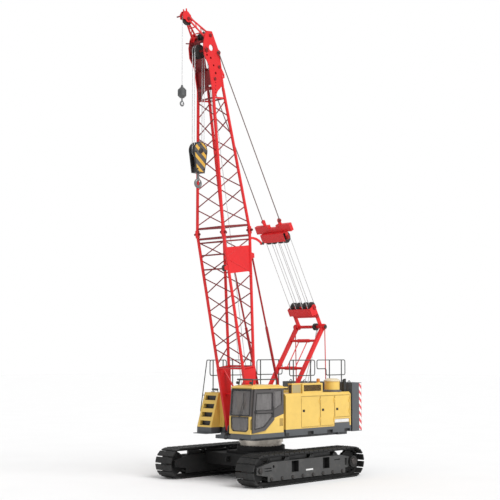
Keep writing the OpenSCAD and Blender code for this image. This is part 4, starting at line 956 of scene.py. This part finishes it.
def low_corners(y0, y1, z0, z1, r):
    """Outline of a window in y and z, with round lower corners."""
    pts = [(y1, z1), (y0, z1)]
    for y, start in ((y0 + r, 180), (y1 - r, 270)):
        for q in range(start, start + 91, 15):
            pts.append((y + r * cos(radians(q)), z0 + r + r * sin(radians(q))))
    return pts


def ring(bm, points, r):
    """A closed bar through points, without rounding."""
    pts = [V(p) for p in points]
    mid = pts[0].lerp(pts[1], 0.5)
    tube(bm, [mid] + pts[1:] + [pts[0], mid], r, 6)


bm = bmesh.new()
for args in ((0.765, 1.565, 2.165, 2.945, 0.03), (0.795, 1.535, 1.675, 2.12, 0.13)):
    ring(bm, [(rake(z) + 0.002, y, z) for y, z in low_corners(*args)], 0.012)
ring(bm, flat(1.609, (0.75, 2.47), (1.11, 2.33), (1.11, 2.92), (0.75, 2.92)), 0.009)
ring(bm, flat(0.708, (1.09, 2.11), (1.97, 2.11), (1.97, 2.90), (1.09, 2.90)), 0.012)
rear = ((0.85, 2.21), (1.48, 2.21), (1.48, 2.88), (0.85, 2.88))
ring(bm, [(0.668, y, z) for y, z in rear], 0.012)
slab(bm, (2.125, 0.73, 2.968), (2.165, 1.60, 2.992), 0.006)
piece("cab_seals", bm, seal, "upper")
bm = bmesh.new()
y = DOOR_Y + 0.002
ring(bm, flat(y, (1.26, 2.32), (2.04, 2.32), (1.98, 2.86), (1.26, 2.86)), 0.010)
ring(bm, flat(y, (1.26, 2.11), (1.63, 1.81), (2.065, 1.74), (2.05, 2.23), (1.26, 2.23)), 0.010)
y = DOOR_Y - 0.002
handle(bm, (1.225, y, 2.10), (1.225, y, 2.42), Y * 0.032, 0.011)
slab(bm, (1.98, DOOR_Y - 0.001, 2.24), (2.09, DOOR_Y + 0.012, 2.31), 0.004)
piece("cab_door_fittings", bm, seal, "cab_door")
bm = bmesh.new()
arm = ((0.02, 1.17, 2.15), (0.03, 1.27, 2.5), (0.028, 1.31, 2.62))
blade = ((0.02, 1.33, 2.35), (0.02, 1.29, 2.88))
for bar, r in ((arm, 0.009), (blade, 0.010)):
    tube(bm, [(rake(z) + off, y, z) for off, y, z in bar], r, 6)
lathe(bm, [(0.03, 0), (0.03, 0.03), (0, 0.035)], V((rake(2.15), 1.17, 2.15)), X, 14)
handle(bm, (2.20, 1.655, 1.75), (2.20, 1.655, 2.05), (0.035, 0.005, 0), 0.011)
piece("cab_trim", bm, seal, "upper")
bm = bmesh.new()
for i in range(7):
    z = 1.80 + 0.035 * i
    slab(bm, (0.70, CAB_Y - 0.002, z), (0.86, CAB_Y + 0.006, z + 0.024), 0.002)
piece("cab_louvre", bm, seam_paint, "upper")

bm = bmesh.new()
slab(bm, (1.05, 0.96, 1.64), (1.45, 1.36, 1.92), 0.03)
slab(bm, (1.0, 0.93, 1.92), (1.52, 1.39, 2.04), 0.045)
slab(bm, (0.98, 0.95, 2.03), (1.10, 1.37, 2.52), 0.045)
slab(bm, (0.99, 1.03, 2.53), (1.08, 1.29, 2.65), 0.035)
slab(bm, (1.0, 0.80, 1.93), (1.52, 1.50, 2.035), 0.015)
for y0, y1 in ((0.80, 0.925), (1.395, 1.50)):
    slab(bm, (1.15, y0, 2.03), (1.60, y1, 2.21), 0.02)
    at = V((1.52, (y0 + y1) / 2, 2.21))
    lathe(bm, [(0.035, 0), (0.025, 0.03), (0.010, 0.04), (0.010, 0.10), (0.022, 0.11),
               (0.026, 0.16), (0.015, 0.19), (0, 0.19)], at, Z, 12)
o = piece("driver_seat", bm, seat_cloth, "upper")
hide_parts("operator_seat")
bm = bmesh.new()
slab(bm, (1.92, 0.80, 2.08), (1.95, 1.02, 2.28), 0.008)
tube(bm, [(1.94, 0.91, 1.66), (1.94, 0.91, 2.1)], 0.015)
for y in (1.05, 1.17, 1.29):
    slab(bm, (1.93, y, 1.65), (2.08, y + 0.09, 1.665), 0.004)
    y += 0.045
    tube(bm, [(1.97, y, 1.66), (1.99, y, 2.0)], 0.010, 6)
    lathe(bm, [(0.008, 0), (0.024, 0.02), (0.02, 0.05), (0, 0.055)], V((1.99, y, 1.99)), Z, 10)
piece("cab_controls", bm, seal, "upper")

# Housings: seams round the doors, handles, foot-hold plate, dark treads (painted shade), louvre
# back, roof details
# Each door's ends in x, its lower edge and its side
SPANS = {
    "left_rear_door": (-2.74, -1.955, 1.965, 1),
    "left_middle_door": (-1.905, -1.205, 1.705, 1),
    "left_front_door": (-1.155, -0.225, 1.705, 1),
    "right_rear_door": (-1.90, -0.975, 1.705, -1),
    "right_front_door": (-0.925, 0.0, 1.705, -1),
}
DOOR_TOP, SEAM = 2.69, 0.012
bm = bmesh.new()
for body, (x0, x1, z0, s) in SPANS.items():
    low, high, back, front = z0 - SEAM, DOOR_TOP + SEAM, x0 - SEAM, x1 + SEAM
    ring(bm, flat(s * 1.611, (back, low), (front, low), (front, high), (back, high)), 0.004)
    hand = bmesh.new()
    cup, grip = (HOUSE_Y - 0.001, HOUSE_Y + 0.0005), (HOUSE_Y, HOUSE_Y + 0.0155)
    side_slab(hand, s, (x1 - 0.175, x1 - 0.057), cup, (2.155, 2.300))
    side_slab(hand, s, (x1 - 0.16, x1 - 0.072), grip, (2.222, 2.246), 0.004)
    lock = V((x1 - 0.085, s * HOUSE_Y, 2.206))
    lathe(hand, [(0.012, 0), (0.012, 0.012), (0, 0.012)], lock, Y * s, 10)
    piece(body + "_handle", hand, seal, body)
piece("door_seams", bm, seam_paint, "upper")
bm = bmesh.new()
slab(bm, (-2.72, 1.5825, 1.778), (-1.955, 1.5875, 1.892), 0.002)
for i in range(9):
    x = -2.68 + 0.08 * i
    slab(bm, (x, 1.587, 1.795), (x + 0.04, 1.592, 1.875), 0.001)
piece("foothold_plate", bm, white_plate, "upper", 0)
STEP_RUN, STEP_RISE, TREAD = 0.09, 0.275, 0.008
# Studded treads in the step recesses, coloured dark as painted shade of the recesses
bm = bmesh.new()
for i in range(4):
    x0, x1, z = 1.2545 - STEP_RUN * i, 1.392 - 0.0868 * i, 1.7205 + STEP_RISE * i
    slab(bm, (x0, -1.515, z), (x1, -1.035, z + TREAD), 0.002)
    for k in range(8):
        for j in range(3):
            stud = V((x0 + 0.025 + 0.045 * j, -1.48 + 0.058 * k, z + TREAD))
            lathe(bm, [(0.012, 0), (0.009, 0.008), (0, 0.008)], stud, Z, 8)
piece("step_treads_painted_shade", bm, seal, "upper")
bm = bmesh.new()
slab(bm, (-1.328, 1.4755, 2.862), (-0.422, 1.479, 3.063), 0)
for i in range(22):
    x = -1.31 + 0.042 * i
    slab(bm, (x, 1.523, 2.862), (x + 0.020, 1.528, 3.063), 0)
piece("intake_screen", bm, brown, "upper", 0)
CLEANER = V((-2.25, 1.24, 0))
bm = bmesh.new()
lathe(bm, [(0.287, 3.156), (0.287, 3.187), (0.172, 3.252), (0, 3.252)], CLEANER, Z, 40)
piece("air_cleaner_cap", bm, cream, "upper")
bm = bmesh.new()
lathe(bm, [(0.322, ROOF_Z), (0.322, 2.842), (0.264, 2.873), (0.2625, 2.873)], CLEANER, Z, 40)
piece("air_cleaner_dish", bm, grey, "upper")
bm = bmesh.new()
lathe(bm, [(0.0595, 3.152), (0.0595, 3.242), (0.041, 3.268), (0, 3.2725)],
      V((-1.30, 1.42, 0)), Z, 24)
piece("beacon_lens", bm, amber, "upper")

bm = bmesh.new()
slab(bm, (-0.315, 1.4895, 2.815), (0.095, 1.4925, 3.075), 0.001)
piece("cover_side", bm, tan, "upper", 0)
# A dark grey sheet on the box's front face: painted shade of that face
bm = bmesh.new()
slab(bm, (0.1095, 1.345, 2.815), (0.1125, 1.475, 3.075), 0.001)
piece("cover_front_painted_shade", bm, cab_grey, "upper", 0)

# Black pads as painted shade in the sill's pockets and at the backs of the steps; lamps on the
# cab's roof
bm = bmesh.new()
for s in SIDES:
    for x in (-2.6, -1.68, -0.68):
        side_slab(bm, s, (x - 0.148, x + 0.148), (1.5405, 1.546), (1.452, 1.558))
slab(bm, (0.39, 1.6095, 1.455), (0.545, 1.6135, 1.555), 0.001)
slab(bm, (0.64, 1.50, 2.925), (0.669, 1.60, 2.985), 0.006)
for i in range(4):
    x, z = max(1.0205, 1.2495 - STEP_RUN * i), 1.72 + STEP_RISE * i
    slab(bm, (x, -1.518, z + 0.012), (x + 0.004, -1.032, z + 0.148), 0)
piece("painted_shade_pads", bm, black, "upper", 0)
bm = bmesh.new()
for y in LAMP_Y:
    lathe(bm, [(0, 0), (0.028, 0), (0.046, 0.025), (0.046, 0.07), (0.038, 0.075), (0, 0.072)],
          V((1.965, y, 3.18)), X, 20)
    tube(bm, [(CAB_RAIL_X, y, 3.18), (1.97, y, 3.18)], 0.015)
piece("roof_lamps", bm, black, "upper")

# Slides under the upper run of the tracks
bm = bmesh.new()
for s in SIDES:
    for x in ((-1.32, -0.46), (-0.14, 0.74), (1.06, 1.62)):
        side_slab(bm, s, x, (1.80, 1.89), (0.7445, 0.862), 0.008)
piece("track_slides", bm, frame_steel, "undercarriage")
# Black sheets on the inner faces of the windows in the side frames: painted shade in the windows
HALF, LOW, HIGH, SHEET = 0.1695, 0.3625, 0.7195, 0.003
back, wall = (1.8655, 1.8685), (1.8685, 2.060)
bm = bmesh.new()
for s in SIDES:
    for x in (0.62, -0.92):
        a, b = x - HALF, x + HALF
        side_slab(bm, s, (a, b), back, (LOW, HIGH))
        for x0 in (a, b - SHEET):
            side_slab(bm, s, (x0, x0 + SHEET), wall, (LOW, HIGH))
        for z in (LOW, HIGH - SHEET):
            side_slab(bm, s, (a + SHEET, b - SHEET), wall, (z, z + SHEET))
piece("frame_window_painted_shade", bm, shade_steel, "undercarriage", 0)
# Dark end plates of the track rollers, on the side frames' skirts
bm = bmesh.new()
for s in SIDES:
    for x in ROLLER_X:
        disc(bm, V((x, s * (FRAME_FACE + 0.0005), ROLLER_Z)), Y * s, 0.066, 0.006)
piece("roller_end_plates", bm, shade_steel, "undercarriage")

# Mirror at the head of the steps, lifting eyes and lid handles
bm = bmesh.new()
tube(bm, rounded(flat(-1.02, (1.03, ROOF_Z), (1.03, 2.9), (1.06, 2.93)), 0.03), 0.012)
m = Matrix.Translation((1.08, -1.10, 2.90)) @ Matrix.Rotation(radians(-12), 4, "Z")
slab(bm, (-0.03, -0.17, -0.035), (0.03, 0.17, 0.035), 0.02, m)
for y in (0.7, -0.7, 1.35, -1.35):
    bend(bm, V((-3.05, y, WEIGHT_TOP)), X, Z, 0.06, 0, 180, 0.014)
for x, z in ((-0.11, 3.125), (-0.9, 3.12)):
    handle(bm, (x - 0.07, 1.41, z), (x + 0.07, 1.41, z), Z * 0.05, 0.009)
piece("deck_fittings", bm, rail_paint, "upper")

# Stage, light and camera
bm = bmesh.new()
bmesh.ops.create_grid(bm, x_segments=2, y_segments=2, size=160)
me = bpy.data.meshes.new("floor")
bm.to_mesh(me)
bm.free()
floor = bpy.data.objects.new("floor", me)
bpy.context.scene.collection.objects.link(floor)
m, t, b = material("floor_white")
p = place(t)
shade = mixed(t, noise(t, p, 0.4, 3.0), (0.86, 0.86, 0.86), (0.90, 0.90, 0.90))
feed(t, b.inputs["Base Color"], shade)
gloss(t, b, noise(t, p, 2.0), 0.75, 0.9)
me.materials.append(m)
floor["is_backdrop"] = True

world = bpy.data.worlds.new("studio")
bpy.context.scene.world = world
world.use_nodes = True
t = world.node_tree
t.nodes.clear()
out = t.nodes.new("ShaderNodeOutputWorld")
# soft light from all round, on a white ground
soft = node(t, "ShaderNodeBackground", Color=(1, 1, 1, 1), Strength=0.64)
white = node(t, "ShaderNodeBackground", Color=(1, 1, 1, 1), Strength=1.0)
path = t.nodes.new("ShaderNodeLightPath")
pick = t.nodes.new("ShaderNodeMixShader")
t.links.new(path.outputs["Is Camera Ray"], pick.inputs[0])
t.links.new(soft.outputs[0], pick.inputs[1])
t.links.new(white.outputs[0], pick.inputs[2])
t.links.new(pick.outputs[0], out.inputs[0])


def sun(name, toward, strength, spread_deg):
    d = bpy.data.lights.new(name, "SUN")
    d.energy = strength
    d.angle = radians(spread_deg)
    o = bpy.data.objects.new(name, d)
    bpy.context.scene.collection.objects.link(o)
    o.matrix_world = turned(V(toward))
    o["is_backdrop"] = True


sun("key", (0.06, 0.70, 0.71), 2.3, 40)

cam = bpy.data.cameras.new("camera")
cam.sensor_width = 36
cam.lens = 79.24
cam.clip_end = 500
eye = bpy.data.objects.new("camera", cam)
bpy.context.scene.collection.objects.link(eye)
right = V((-0.68907, 0.72469, 0))
ahead = V((-0.721496, -0.686029, 0.093850))
up = right.cross(ahead)
at = V((27.281, 25.433, 4.095))
eye.matrix_world = Matrix.Translation(at) @ Matrix((right, up, -ahead)).transposed().to_4x4()
bpy.context.scene.camera = eye
bpy.context.scene.view_settings.view_transform = "Standard"

low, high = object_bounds()
